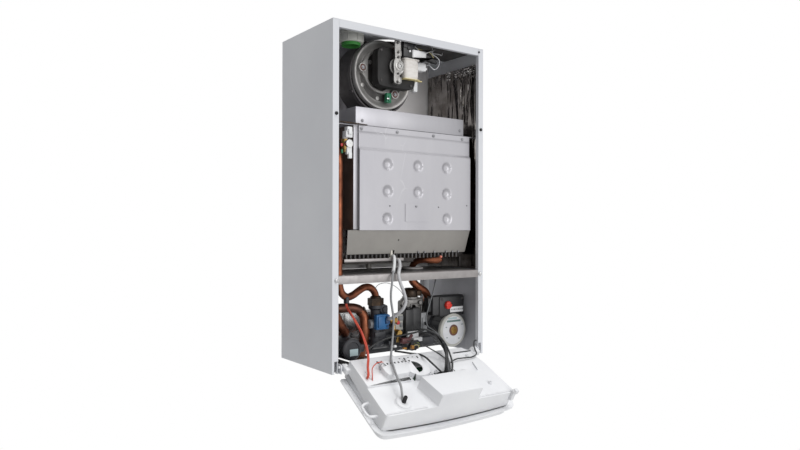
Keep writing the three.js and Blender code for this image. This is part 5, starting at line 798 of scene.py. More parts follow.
def makeMotor(look, strip):
    # The wound bobbin
    left, right, front, back = look["coilLeft"], look["coilRight"], look["coilFront"], look["coilBack"]
    low, high = look["coilBottom"], look["coilTop"]
    bm = bmesh.new()
    middle, size = ((left + right) / 2, (front + back) / 2), ((right - left) / 2 - 1.2, (back - front) / 2 - 1.2)
    layers = 13
    rims = []
    for k in range(layers + 1):
        height = low + 1.8 + (high - low - 3.6) * k / layers
        grow = 1.5 * max(math.sin(math.pi * k / layers), 0) ** 0.5 + (0.35 if k % 3 == 0 else 0)
        ring = bmesh.ops.create_circle(bm, cap_ends=False, segments=48, radius=1)["verts"]
        for vert in ring:
            angle = math.atan2(vert.co.y, vert.co.x)
            reach = [abs(value) ** 0.42 * (1 if value > 0 else -1) for value in (math.cos(angle), math.sin(angle))]
            vert.co = Vector((middle[0] + (size[0] - 2.2 + grow) * reach[0],
                              middle[1] + (size[1] - 2.2 + grow) * reach[1], height))
        rims.append(ring)
    for lower, upper in zip(rims, rims[1:]):
        loops = [edge for ring in (lower, upper)
                 for edge in {e for v in ring for e in v.link_edges if e.other_vert(v) in ring}]
        bmesh.ops.bridge_loops(bm, edges=loops)
    for ring in (rims[0], rims[-1]):
        bm.faces.new(ring)
    finishPiece(bm, "motor_winding", "coil_tape", replaces=("motor_coil",), smooth=50)
    build("motor_bobbin", "bobbin_cream",
          (plateIn, [(left, front), (right, front), (right, back), (left, back)], "plan", low, low + 1.2, 7, 5),
          (boxIn, (right - 3, front + 6, low - 1), (right + 8, front + 12, low + 1), 0.5), slot="coil_tape")
    build("motor_bobbin_top", "coil_tape",
          (plateIn, [(left + 0.6, front + 0.6), (right - 0.6, front + 0.6), (right - 0.6, back - 1),
                     (left + 0.6, back - 1)], "plan", high - 1.8, high, 7, 5))

    # The bearing strip with its raised middle, ribs and screws
    x, z = fanHub
    face, back = strip["front"], strip["front"] + strip["thick"]
    build("bearing_bridge", "bright_cast",
          (plateIn, [(x + across, up) for across, up in strip["outline"]], "front", face, back, 0.8, 2),
          (turnIn, [(4, back + 1), (12, back + 1), (12, face - 0.4), (10.8, face - 1.4), (9, face - 1.4),
                    (8.2, face - 0.2), (6.4, face - 0.2), (5.8, face - 1.8), (4, face - 1.8)], (x, 0, z), "y", 40),
          *((boxIn, (x - 4.5, face - 1.2, z + up - 6), (x + 4.5, face + 1, z + up + 6), 1.1) for up in (-30, 27)),
          *((rodIn, (x, back - 1, z + up), (x, -191.3, z + up), 4.5) for up in (-34, 38)),
          *((rodIn, (x + near[0], face, near[1]), (x + far[0], face, far[1]), 1, None, 10)
            for near, far in strip["ridges"]), slot="cast_alloy", replaces=("motor_bearing_strip",))
    build("bearing_screws", "dark_steel",
          *((turnIn, [(0, face + 1), (2.5, face + 1), (2.5, face - 1.8), (1.8, face - 2.2), (0, face - 1.2)],
             (x - 4.5, 0, z + up), "y", 14) for up in (-17, 17.5, 28)),
          *((screwIn, (x - 6, face, z + up), (0, -1, 0), 2.9, 2.2) for up in (-34.5, 48)),
          (turnIn, [(0, face - 0.9), (2.2, face - 0.9), (2.2, face + 1), (0, face + 1)], (x, 0, z), "y", 20))
    build("rotor_disc", "bright_cast",
          (turnIn, [(0, face - 0.6), (2.9, face - 0.6), (2.9, face + 14), (0, face + 14)], (x, 0, z), "y", 24),
          (turnIn, [(2.6, -198), (8, -198), (10, -196.6), (15, -196.6), (17.4, -197.6), (18.4, -196.6),
                    (18.4, -193.8), (17.6, -193.3), (2.6, -193.3)], (x, 0, z), "y", 48), body="fan", slot="stainless")

    # Rivets through the stacked core, plugs, the connectors and the terminal block
    build("core_rivets", "dark_steel",
          *((screwIn, (across, look["front"], up), (0, -1, 0), 3.2, 2, False)
            for across, up in ((left - 52, 600), (left - 52, 664), (left + 26, 597), (left - 20, 597))))
    build("motor_plug", "plug_white",
          (plateIn, [(7, -207), (40, -207), (49, -203), (49, -197), (40, -195), (7, -195)], "plan", 656, 673, 3.4,
           5), (rodIn, (0, -204, 668), (0, -205.6, 668), 2.4), slot="white_plastic", softer=2.2)
    build("motor_terminal_block", "black_plastic", (boxIn, (-16, -203.5, 655), (16, -191.4, 690), 2),
          (boxIn, (-16, -205, 674), (8, -202, 688), 1), (rodIn, (44, -199, 664), (66, -196, 660), 8, 7),
          (rodIn, (66, -196, 660), (82, -194, 656), 7, 3.4), (boxIn, (-6, -206.2, 671), (4, -203.2, 681), 1.4),
          replaces=("motor_terminal_cover",), softer=0.6)
    build("motor_connector", "white_plastic", (boxIn, (34, -184, 636), (62, -168, 655), 3),
          (boxIn, (34, -174, 590), (46, -160, 614), 3), (rodIn, (60, -176, 645), (68, -176, 644), 3))
    build("earth_connector", "green_plastic", (boxIn, (-36, -170, 559), (-23.5, -160, 580), 1.2),
          (boxIn, (-33, -173, 562), (-27, -169, 573), 0.8), slot="grey_plastic")
    build("earth_tag", "bright_screw", (boxIn, (-37, -173.6, 565.4), (-31, -171.6, 568.6), 0.4), slot="stainless")


makeMotor(motor, bearingStrip)
softenNode("motor_core", "lamination", 0.5)

motorWires = [
    ("motor_wire_high", 2, "yellow_wire", "limp",
     [(-18, -192, 694), (-8, -193, 693.6), (1, -193, 692), (15, -192, 687), (30, -191, 681.5), (50, -190, 679.5),
      (69, -188, 678), (78, -186, 673), (83, -184, 667)]),
    ("motor_wire_second", 1.6, "white_wire", "limp",
     [(-20, -200, 692), (-6, -202, 690), (6, -202, 686), (18, -199, 682), (34, -194, 676), (52, -188, 668),
      (64, -184, 662), (76, -180, 654)]),
    ("motor_wire_loop", 2, "label_ring", "limp",
     [(83, -180, 695), (82, -180, 687), (83, -180, 679), (93, -180, 675), (102, -180, 668), (101, -180, 657),
      (94, -180, 648), (86, -180, 645.6), (79, -180, 649), (72, -181, 653), (64, -182, 650)]),
    ("ceiling_wire", 2.2, "white_wire", "stiff",
     [(101, -150, 694), (104, -151, 691), (112, -152, 690.5), (122, -152, 691), (134, -152, 691), (136, -150, 696)]),
]
for name, wide, finish, stiffness, points in motorWires:
    makeCord(name, {"diameter": wide, "points": points}, finish, slot="grey_wire", body="case",
             sides=8)
print("fan made")


# The combustion chamber
chamber = {"left": -138, "right": 178, "front": -198, "back": -86, "bottom": 284.5, "top": 498.6, "sheet": 1.2,
           "fold": 12, "earLeft": -198.2, "earRight": 195.2, "earDeep": 15}


def pipeIn(name, points, radius, finish="copper", replaces=(), slot=None, sides=28, steps=6):
    mesh = tubeMesh(name, [openRoute(inMetres(points), steps)], radius * mm, sides)
    return finishPiece(mesh, name, finish, slot=slot, smooth=70, replaces=replaces)


def makeShell(look):
    left, right, front, back = look["left"], look["right"], look["front"], look["back"]
    low, high, sheet = look["bottom"], look["top"], look["sheet"]
    # The shell's walls in a dark brown painted shade
    build("shell_sides", "shell_painted_shade", (boxIn, (left, front + sheet, low), (left + sheet, back, high)),
          (boxIn, (right - sheet, front + sheet, low), (right, back, high)),
          (boxIn, (left + sheet, back - sheet, low), (right - sheet, back, high)), slot="chamber_sheet",
          replaces=("combustion_shell",))
    build("shell_front_folds", "chamber_sheet",
          *((boxIn, (near, front, low), (far, front + sheet, high), 0.4)
            for near, far in ((left, left + look["fold"]), (right - look["fold"], right))),
          (boxIn, (look["earLeft"], front, high - 1.8), (left, front + look["earDeep"], high - 0.3), 0.3),
          (boxIn, (right, front, high - 1.8), (look["earRight"], front + look["earDeep"], high - 0.3), 0.3),
          (boxIn, (look["earLeft"], front + 1, high - 8), (look["earLeft"] + 1.2, front + 14, high - 1.8), 0.2))
    build("ear_screws", "bright_screw",
          *((screwIn, (x, front + 8, high - 0.3), (0, 0, 1), 3, 2)
            for x in (look["earLeft"] + 20, look["earRight"] - 6)), slot="stainless")


makeShell(chamber)
softenNode("smoke_hood", "chamber_sheet", 0.7)

chamberCover = {"left": -127, "right": 174.5, "low": 283, "top": 498, "crease": 454, "slope": 7, "strip": 484,
                "groove": (1.3, 1.1), "front": -205.2, "back": -200.7, "sheet": 1.2,
                "dimples": [(-57, 421), (23, 422), (104, 422), (-57, 365), (23, 365), (104, 364), (-58, 307.5),
                            (105, 308)], "radius": 12.6, "deep": 4.4, "window": (1.5, 41.5, 309, 333)}


def coverDepth(look, x, z):
    # How far forward the sheet stands: its raised field, the crease, the groove under the strip and the dimples
    climb = min(max((look["crease"] - z) / look["slope"], 0), 1)
    y = look["back"] + (look["front"] - look["back"]) * climb * climb * (3 - 2 * climb)
    deep, wide = look["groove"]
    y += deep * math.exp(-((z - look["strip"]) / wide) ** 2)
    for across, up in look["dimples"]:
        away = math.hypot(x - across, z - up) / look["radius"]
        if away < 1:
            y += look["deep"] * min(1.25 * (1 - away * away), 1)
    return y


def makeCover(look):
    bm = bmesh.new()
    bmesh.ops.create_grid(bm, x_segments=150, y_segments=128, size=0.5)
    wide, tall = look["right"] - look["left"], look["top"] - look["low"]
    x0, x1, z0, z1 = look["window"]
    for vert in bm.verts:
        x, z = look["left"] + (vert.co.x + 0.5) * wide, look["low"] + (vert.co.y + 0.5) * tall
        vert.co = Vector((x, coverDepth(look, x, z), z))
    middles = [(face, face.calc_center_median()) for face in bm.faces]
    inside = [face for face, middle in middles if x0 < middle.x < x1 and z0 < middle.z < z1]
    bmesh.ops.delete(bm, geom=inside, context="FACES")
    rims = [edge for edge in bm.edges if edge.is_boundary]
    sides = bmesh.ops.extrude_edge_only(bm, edges=rims)["geom"]
    for vert in {part for part in sides if isinstance(part, bmesh.types.BMVert)}:
        vert.co.y += look["sheet"]
    far = [edge for edge in bm.edges if edge.is_boundary and edge.calc_length() > 0]
    lips = bmesh.ops.extrude_edge_only(bm, edges=far)["geom"]
    for vert in {part for part in lips if isinstance(part, bmesh.types.BMVert)}:
        away = min(abs(vert.co.x - look["left"]), abs(vert.co.x - look["right"]), abs(vert.co.z - look["low"]))
        if away < 0.01:
            vert.co.y = max(vert.co.y, look["back"] + 0.3)
    finishPiece(bm, "chamber_cover_sheet", "chamber_sheet", smooth=30, replaces=("chamber_cover",))


makeCover(chamberCover)

apron = {"topLeft": -152, "right": 178, "bottomLeft": -144, "top": 282.8, "bottom": 233, "topFront": -199.6,
         "bottomFront": -182, "hem": 9, "notch": (-35.5, -24.5), "notchTall": 7, "sheet": 1.2}


def makeApron(look):
    # A sheet sloping back from the cover's lower edge, notched round the electrode, with its hem turned in
    top, bottom, near, far = look["top"], look["bottom"], look["topFront"], look["bottomFront"]
    corners = [(look["topLeft"], top), (look["right"], top), (look["right"], bottom), (look["notch"][1], bottom),
               (look["notch"][1], bottom + look["notchTall"]), (look["notch"][0], bottom + look["notchTall"]),
               (look["notch"][0], bottom), (look["bottomLeft"], bottom)]
    bm = bmesh.new()
    verts = [bm.verts.new((x, near + (far - near) * (top - z) / (top - bottom), z)) for x, z in corners]
    face = bm.faces.new(verts)
    bmesh.ops.recalc_face_normals(bm, faces=[face])
    bmesh.ops.solidify(bm, geom=[face], thickness=look["sheet"])
    for left, right in ((look["bottomLeft"], look["notch"][0]), (look["notch"][1], look["right"])):
        boxIn(bm, (left, far + 0.6, bottom - 0.4), (right, far + look["hem"], bottom + 0.8), 0.2)
    finishPiece(bm, "apron_sheet", "grey_paint", smooth=30, replaces=("flame_apron",))


makeApron(apron)
build("sight_cover", "chamber_sheet", (boxIn, (-12, -206.3, 301.5), (50, -205.35, 340)), replaces=("sight_plate",))

screwRows = {"hood": ([(-118, 508), (147, 510)], -199.5),
             "strip": ([(-121, 491), (-30, 491.5), (69, 491.5), (153, 490.5)], -201),
             "sight": ([(17, 334.6)], -206.9), "holes": [(-52, 334), (80, 334), (163.5, 339), (-20, 262)]}


def makeChamberScrews(rows):
    bm = bmesh.new()
    for name in ("hood", "strip"):
        places, front = rows[name]
        for x, z in places:
            screwIn(bm, (x, front + 0.2, z), (0, -1, 0), 2.7, 2)
            rodIn(bm, (x, front + 0.3, z), (x, front - 0.4, z), 3.8, segments=18)
    places, front = rows["sight"]
    for x, z in places:
        screwIn(bm, (x, front + 0.4, z), (0, -1, 0), 2.6, 1.8)
    finishPiece(bm, "chamber_screws", "screw_grey", slot="stainless")
    bm = bmesh.new()
    for x, z in rows["holes"]:
        front = -205.4 if z > 283 else -193
        rodIn(bm, (x, front + 1, z), (x, front - 0.15, z), 1.5, segments=14)
    finishPiece(bm, "cover_small_holes", "slot_shade", slot="black_plastic")


makeChamberScrews(screwRows)

burnerFront = {"from": -145, "to": 172, "pitch": 10.6, "radius": 2.5, "y": -181.5, "low": 222.2, "high": 232.2}


def makeBurnerFront(look):
    bm, rims = bmesh.new(), bmesh.new()
    count = int((look["to"] - look["from"]) / look["pitch"])
    for k in range(count):
        x = look["from"] + look["pitch"] * k
        if abs(x + 30) > 6:
            rodIn(bm, (x, look["y"], look["low"]), (x, look["y"], look["high"]), look["radius"], segments=12)
            rodIn(rims, (x, look["y"] + 4, look["low"]), (x, look["y"] + 4, look["low"] + 4), look["radius"] * 1.35,
                  segments=12)
    finishPiece(bm, "burner_jet_row", "dark_steel")
    finishPiece(rims, "burner_jet_seats", "nut_brown", slot="brass")
    build("burner_front_rail", "burner_dark", (boxIn, (-150, -176, 224.6), (176, -171, 236), 0.5),
          (boxIn, (-152, -187.8, 214.4), (24, -176, 222.6), 0.8), (boxIn, (20, -171, 221), (178, -166, 226), 0.8),
          (boxIn, (170, -172, 198.4), (178, -166, 222), 0.8), (boxIn, (90.5, -190, 218.5), (102.5, -166, 227), 2),
          slot="dark_steel", replaces=("gas_manifold",))
    build("burner_light_bar", "galvanised", (boxIn, (-154, -189.6, 217.6), (-4, -188, 223.2), 0.3),
          (boxIn, (-154, -189.2, 222.6), (-4, -181, 223.4), 0.2))
    build("burner_small_tips", "screw_grey",
          *((turnIn, [(0, 232), (1.7, 232), (2, 233), (2, 236), (0, 236.4)], (x, -184.6, 0), "z", 12)
            for x in (40, 58, 86, 120, 139, 156)), slot="stainless")


makeBurnerFront(burnerFront)
softenNode("chamber_floor", "galvanised", 0.4)
softenNode("rear_panel", "rear_sheet", 0.3, slot="galvanised")

pipeIn("flow_tube", [(-145, -164.8, 464), (-151, -164.8, 464), (-159, -171, 457), (-164, -182, 438),
                     (-165, -186, 414), (-165, -186, 400), (-165, -186, 320), (-165, -186, 240), (-165, -186, 192),
                     (-163.6, -186, 172), (-156.5, -184, 154.5), (-142, -181, 145.6), (-126, -178, 148.6),
                     (-108, -174, 157), (-92, -170, 162.4), (-76, -166, 161), (-63, -162, 152), (-57, -160, 141),
                     (-57, -160, 128)], 7.6, "copper", ("flow_pipe",))
pipeIn("return_tube", [(-145, -134.8, 464), (-151, -134.8, 464), (-167, -132, 456), (-175, -128, 436),
                       (-179, -128, 390), (-179, -128, 300), (-179, -128, 230), (-179, -128, 176)], 9.4, "copper",
       ("return_pipe_upper",))
pipeIn("gas_tube_high",
       [(64, -130, 178), (64, -130, 192), (64, -131.5, 201), (64.5, -139, 208.5), (66, -151, 213.6), (72, -167, 216),
        (82, -180, 215), (90, -187, 215.4), (94.5, -190.5, 217.6), (96.5, -192, 220.4)], 7, "copper",
       ("gas_pipe_upper",))
bm = bmesh.new()
bmesh.ops.create_uvsphere(bm, u_segments=20, v_segments=12, radius=3.8,
                          matrix=Matrix.Translation((97.2, -192.6, 223)))
finishPiece(bm, "gas_tube_end", "copper_pink", slot="copper")
build("grommet_light_ring", "ring_grey",
      (turnIn, [(9.6, 196), (14, 195), (24, 194.4), (25.4, 195.4), (25.4, 197.6), (24, 198.6), (14, 199.6),
                (9.6, 198.6)], (64, -130, 0), "z", 48), slot="grey_rubber")

ventFitting = {"x": -155, "y": -193}


def makeVent(look):
    x, y = look["x"], look["y"]
    build("air_vent_body", "brass",
          (turnIn, [(0, 441), (5, 441), (5, 446), (7.4, 446), (7.8, 447), (7.8, 466), (7, 468), (0, 468)], (x, y, 0),
           "z", 28), replaces=("air_vent",))
    build("limit_switch_connectors", "white_plastic",
          (turnIn, [(0, 468), (5.4, 468), (5.4, 476), (4.6, 477), (0, 477)], (x, y, 0), "z", 20),
          (boxIn, (x - 5, y - 12, 470), (x + 11, y + 3, 484), 1.6),
          (boxIn, (x - 3, y - 14, 481), (x + 9, y - 2, 492), 1.2),
          (boxIn, (x - 1, y - 17, 476), (x + 7, y - 11, 487), 0.9),
          (boxIn, (x - 2, y - 11, 436), (x + 10, y - 3, 452), 1.4),
          (boxIn, (x + 1, y - 13, 428), (x + 9, y - 6, 440), 0.9))
    build("limit_thermostat", "stainless",
          (turnIn, [(0, -206), (8, -206), (8.6, -203), (8.6, -197), (0, -197)], (x + 3, 0, 458), "y", 28))
    build("vent_red_tag", "red_dot", (boxIn, (x - 13, y - 6, 452), (x - 9, y - 2, 458), 0.6), slot="red_plastic")
    build("vent_green_tag", "green_plastic", (boxIn, (x - 12, y - 6, 438), (x - 8.6, y - 2, 446), 0.6),
          slot="grey_plastic")


makeVent(ventFitting)
build("pipe_sensor_clip", "black_blue", (boxIn, (-150, -191, 133), (-142, -179, 147), 2), slot="black_plastic")
build("clip_rod", "nut_brown", (rodIn, (-176, -207.4, 499.8), (-130, -207.4, 499.4), 1.3, None, 10),
      (rodIn, (-140, -207.4, 499.4), (-111, -207.4, 498.8), 1, None, 10), slot="dark_steel")
print("chamber made")


# The bay under the chamber
pipeIn("gas_tube_low",
       [(64, -130, 177.7), (64, -130, 173), (66, -130, 166), (76, -131, 156), (90, -131, 147), (103, -130, 139),
        (110, -127, 130), (112, -124, 121), (112, -124, 117)], 9, "copper", ("gas_pipe_lower",))
pipeIn("cold_tube", [(-82, -140, 1), (-82, -141, 18), (-81, -148, 38), (-80, -152, 60), (-80, -152, 88),
                     (-81, -149, 100), (-84, -145, 108)], 10.4, "copper", ("cold_water_pipe",))
# The cold pipe's bend and back run in darker copper: painted shade
pipeIn("cold_tube_back",
       [(-84, -145, 107), (-90, -143, 113), (-104, -139, 117), (-126, -136, 117.5), (-150, -130, 117),
        (-169, -120, 115), (-181, -102, 111), (-180, -78, 103), (-168, -56, 93), (-146, -38, 82), (-118, -29, 70),
        (-94, -27, 61), (-80, -27, 60), (-68.6, -27, 60)], 10, "copper_painted_shade", slot="copper")
pipeIn("return_tube_low",
       [(-179, -128, 175.4), (-179, -128, 166), (-177, -133, 153), (-172, -146, 139), (-166, -157, 126),
        (-160, -160, 113), (-151, -160, 97), (-141, -158, 82), (-131, -153, 71), (-123, -143, 66), (-117, -131, 64),
        (-114, -121, 60), (-114, -118, 53), (-114, -118, 46.4)], 9.6, "copper", ("return_pipe_lower",))
bm = bmesh.new()
for spot, way, wide, tall in (((-84, -144, 109), (-0.6, 0, 0.8), 12.6, 6), ((-82, -140, 6), (0, 0, 1), 14, 12)):
    spot, way = Vector(spot), Vector(way).normalized()
    rodIn(bm, spot - way * tall / 2, spot + way * tall / 2, wide, segments=6)
finishPiece(bm, "cold_tube_nuts", "nut_brown", slot="brass")

waterBody = {"x": -50, "y": -148, "barrel": 20, "low": 34, "high": 103, "portX": -57, "portY": -160, "nutLow": 122,
             "nutHigh": 140, "nut": 17.5}


def makeWaterBlock(look):
    x, y = look["x"], look["y"]
    wide, low, high = look["barrel"], look["low"], look["high"]
    bm = bmesh.new()
    turnIn(bm, [(0, low), (wide - 3, low), (wide - 1, low + 2), (wide - 1, low + 14), (wide + 2, low + 15),
                (wide + 2, low + 20), (wide, low + 21), (wide, low + 40), (wide + 2.4, low + 41),
                (wide + 2.4, low + 46), (wide, low + 47), (wide, high - 8), (wide - 3, high - 2), (wide - 6, high),
                (0, high)], (x, y, 0), "z", 40)
    turnIn(bm, [(0, low), (11.4, low), (11.4, 112), (13.5, 113), (15.6, 115), (15.6, 122), (0, 122)],
           (look["portX"], look["portY"], 0), "z", 32)
    turnIn(bm, [(0, -74), (15, -74), (17, -72), (17, -60), (16, -59), (16, 16), (17.4, 17), (17.4, 26), (0, 26)],
           (0, y + 11.4, 60), "x", 32)
    turnIn(bm, [(0, -50), (12, -50), (12, 60), (0, 60)], (0, -132, 34), "x", 28)
    turnIn(bm, [(0, -172.5), (8, -172.5), (9, -171), (9, -148), (0, -148)], (-46, 0, 87), "y", 28)
    turnIn(bm, [(0, -164), (9, -164), (9, -132), (0, -132)], (26, 0, 30), "y", 28)
    # A bulge with its round cap, high on the right
    turnIn(bm, [(0, -176), (5, -176), (5.6, -175), (5.6, -173), (9.6, -172), (11, -169), (11, -150), (0, -150)],
           (-43, 0, 113), "y", 28)
    for up in (50, 66, 96):
        boxIn(bm, (x - wide - 3.4, y - 4, up - 2), (x - wide + 2, y + 4, up + 2), 1)
        boxIn(bm, (x + wide - 2, y - 10, up - 2), (x + wide + 4, y + 2, up + 2), 1)
    boxIn(bm, (-72, -157, 48), (-28, -138, 54), 1.5)
    boxIn(bm, (-66, -172, 52), (-38, -150, 66), 3)
    boxIn(bm, (-36, -158, 84), (-22, -138, 120), 4)
    finishPiece(bm, "water_block_body", "black_blue", slot="composite", replaces=("water_block",), smooth=35)
    pipeIn("hot_tail", [(-20, -132, 34), (-12, -116, 39), (-4, -92, 46), (-4, -70, 46), (-4, -60, 37), (-4, -58, 24),
                        (-4, -58, 1)], 10, "copper")
    pipeIn("flow_tail", [(-112, -114, 32), (-122, -107, 37), (-136, -94, 45), (-146, -78, 50), (-150, -64, 46),
                         (-150, -58, 35), (-150, -58, 20), (-150, -58, 1)], 10, "copper")
    build("flow_union_nut", "nut_brown",
          (rodIn, (look["portX"], look["portY"], look["nutLow"]),
           (look["portX"], look["portY"], look["nutHigh"] - 3), look["nut"], None, 6),
          (turnIn, [(0, look["nutHigh"] - 4), (13, look["nutHigh"] - 4), (11.4, look["nutHigh"]),
                    (9, look["nutHigh"] + 2), (0, look["nutHigh"] + 2)], (look["portX"], look["portY"], 0), "z", 28),
          slot="brass", smooth=25)
    build("side_port_cap", "grey_plastic",
          (turnIn, [(0, -60), (9, -60), (9.4, -61), (9.4, -76), (8.6, -77.4), (0, -77.4)], (0, -164, 83), "x", 28))
    bm = bmesh.new()
    for way in (-1, 1):
        boxIn(bm, (x + way * 13 - 3, -148, 36), (x + way * 13 + 3, -67, 41), 0.6)
        boxIn(bm, (x + way * 13 - 3, -76, 24.4), (x + way * 13 + 3, -67, 41), 0.6)
    finishPiece(bm, "water_block_feet", "galvanised")


makeWaterBlock(waterBody)

blueSwitch = {"left": -71, "right": -35, "low": 72, "high": 104, "front": -185, "back": -172.5}


def makeSwitch(look):
    left, right, low, high, front, back = (look[key] for key in ("left", "right", "low", "high", "front", "back"))
    build("water_switch_case", "blue_plastic", (boxIn, (left, front, low), (right - 4, back, high), 2.4, 3),
          (boxIn, (left + 3, front - 3, low + 4), (left + 20, front + 2, high - 4), 1.4),
          (boxIn, (right - 7, front + 2, low + 10), (right, back, high - 2), 1.2),
          replaces=("water_pressure_switch",))
    build("water_switch_plug", "blue_dark",
          (boxIn, (left + 22, front - 4, low + 12), (right - 5, front + 2, high - 8), 1),
          *((turnIn, [(0, front + 1), (2.6, front + 1), (2.6, front - 2), (0, front - 2)], (x, 0, z), "y", 18)
            for x, z in ((right - 8, low + 6), (right - 9, high - 5))), slot="blue_plastic")


makeSwitch(blueSwitch)

actuatorForm = {"x": -128, "z": 36, "radius": 23, "front": -181, "back": -128}


def makeActuator(look):
    x, z, wide, front, back = look["x"], look["z"], look["radius"], look["front"], look["back"]
    build("actuator_case", "black_blue",
          (turnIn, [(0, back), (wide - 2, back), (wide, back - 2), (wide, front + 14), (wide - 1.4, front + 12),
                    (wide - 1.4, front + 8), (wide, front + 6), (wide - 0.5, front + 2), (wide - 3, front),
                    (wide - 7, front - 0.6), (wide - 8, front + 1), (0, front + 1)], (x, 0, z), "y", 48),
          (boxIn, (x + wide - 5, front + 4, z - 8), (x + wide + 9, front + 20, z + 8), 2), slot="black_plastic",
          replaces=("diverter_actuator",))
    build("actuator_label", "pale_blue", (boxIn, (x - 7, front - 0.8, z - 13), (x + 13, front + 0.8, z + 1), 0.3),
          slot="white_plastic")


makeActuator(actuatorForm)

valveForm = {"left": 30, "right": 98, "low": 52, "high": 92, "front": -150, "back": -98}


def makeValve(look):
    left, right, low, high, front, back = (look[key] for key in ("left", "right", "low", "high", "front", "back"))
    build("gas_valve_casting", "cast_alloy", (boxIn, (left, front + 6, low), (right, back, high), 4, 3),
          (boxIn, (left + 10, front + 12, high - 2), (right - 6, back - 6, high + 30), 5, 3),
          (turnIn, [(0, 91), (13, 91), (13, 112), (11.4, 117), (0, 117)], (112, -124, 0), "z", 32),
          (rodIn, (90, -124, 104), (112, -124, 104), 10.5, None, 28),
          *((boxIn, (x, front + 9, high + 4), (x + 3, back - 2, high + 26), 1)
            for x in (left + 16, left + 34, left + 52)),
          (turnIn, [(0, front + 4), (7, front + 4), (8, front + 5), (8, front + 16), (0, front + 16)],
           (56, 0, high + 16), "y", 28), replaces=("gas_valve",))
    pipeIn("gas_tail", [(64, -104, 65), (64, -86, 65), (64, -62, 60), (64, -58, 44), (64, -58, 1)], 10, "copper")
    build("valve_coils", "black_plastic", (boxIn, (23, front - 12, low + 1), (45, front + 7, high + 14), 1.6),
          (boxIn, (44, front - 11, low + 1), (66, front + 7, high + 16), 1.6),
          (boxIn, (23, front - 8, low - 6), (66, front + 6, low + 3), 1.2),
          *((turnIn, [(0, high + 15), (6, high + 15), (6.4, high + 17), (0, high + 18)], (x, front - 3, 0), "z", 20)
            for x in (34, 56)))
    build("valve_modulator", "grey_plastic", (boxIn, (68, front - 9, low), (86, front + 8, high + 4), 2),
          (boxIn, (71, front - 11, low + 10), (83, front - 8, high - 8), 0.8))
    build("valve_label", "label", (boxIn, (27, front - 14, 43.5), (57, front - 8, 57.5), 0.5), slot="white_plastic")
    build("valve_bracket", "nut_brown",
          (turnIn, [(0, 130), (15, 130), (16.4, 132), (16.4, 144), (14, 149), (11, 151), (0, 151)], (58, -131, 0),
           "z", 32), (boxIn, (66, -140, 132), (86, -124, 145), 3), slot="cast_alloy")
    build("valve_top_casting", "cast_alloy", (boxIn, (38, -142, 108), (90, -116, 128), 5, 3),
          (turnIn, [(0, 126), (18, 126), (19, 128), (19, 131), (0, 131)], (58, -131, 0), "z", 32),
          (turnIn, [(0, -148), (6, -148), (7, -146), (7, -138), (9.4, -137), (9.4, -128), (0, -128)], (40, 0, 116),
           "y", 28), (turnIn, [(0, -147), (4, -147), (4.6, -146), (4.6, -140), (0, -140)], (76, 0, 118), "y", 24),
          (boxIn, (50, -146, 106), (70, -140, 116), 2))


makeValve(valveForm)

flowPlate = {"left": -2, "right": 20, "low": 62, "high": 96, "y": -152}


def makeFlowPlate(look):
    left, right, low, high, y = (look[key] for key in ("left", "right", "low", "high", "y"))
    build("valve_front_plate", "intake_grey", (boxIn, (left, y - 3, low), (right, y, high), 1),
          (boxIn, (left - 6, y - 2, low - 26), (right - 4, y, low + 4), 0.8),
          (boxIn, (right - 12, y - 2, low - 30), (right - 4, y + 12, low - 6), 0.8), slot="white_plastic")
    build("plate_red_plug", "red_dot",
          (turnIn, [(0, y - 2), (4.6, y - 2), (4.6, y - 6), (3.6, y - 7), (0, y - 7)], (left + 7, 0, high - 17), "y",
           24), slot="red_plastic")
    build("plate_grey_boxes", "grey_plastic",
          (boxIn, (left + 9, y - 7, high - 13), (right - 2, y - 2, high - 3), 0.8),
          (boxIn, (left + 13, y - 6, high - 28), (right - 3, y - 2, high - 18), 0.8))
    build("brass_union", "brass", (rodIn, (-14, -160, 86), (-4, -160, 86), 9, None, 6),
          (rodIn, (-22, -160, 86), (-14, -160, 86), 7, None, 24),
          (rodIn, (-11, -164, 76), (-11, -164, 64), 3.5, None, 16), smooth=25)


makeFlowPlate(flowPlate)

pumpForm = {"x": 155, "z": 51, "front": -118, "motorFront": -170, "face": 39, "fins": 20, "finsAt": 36.6}


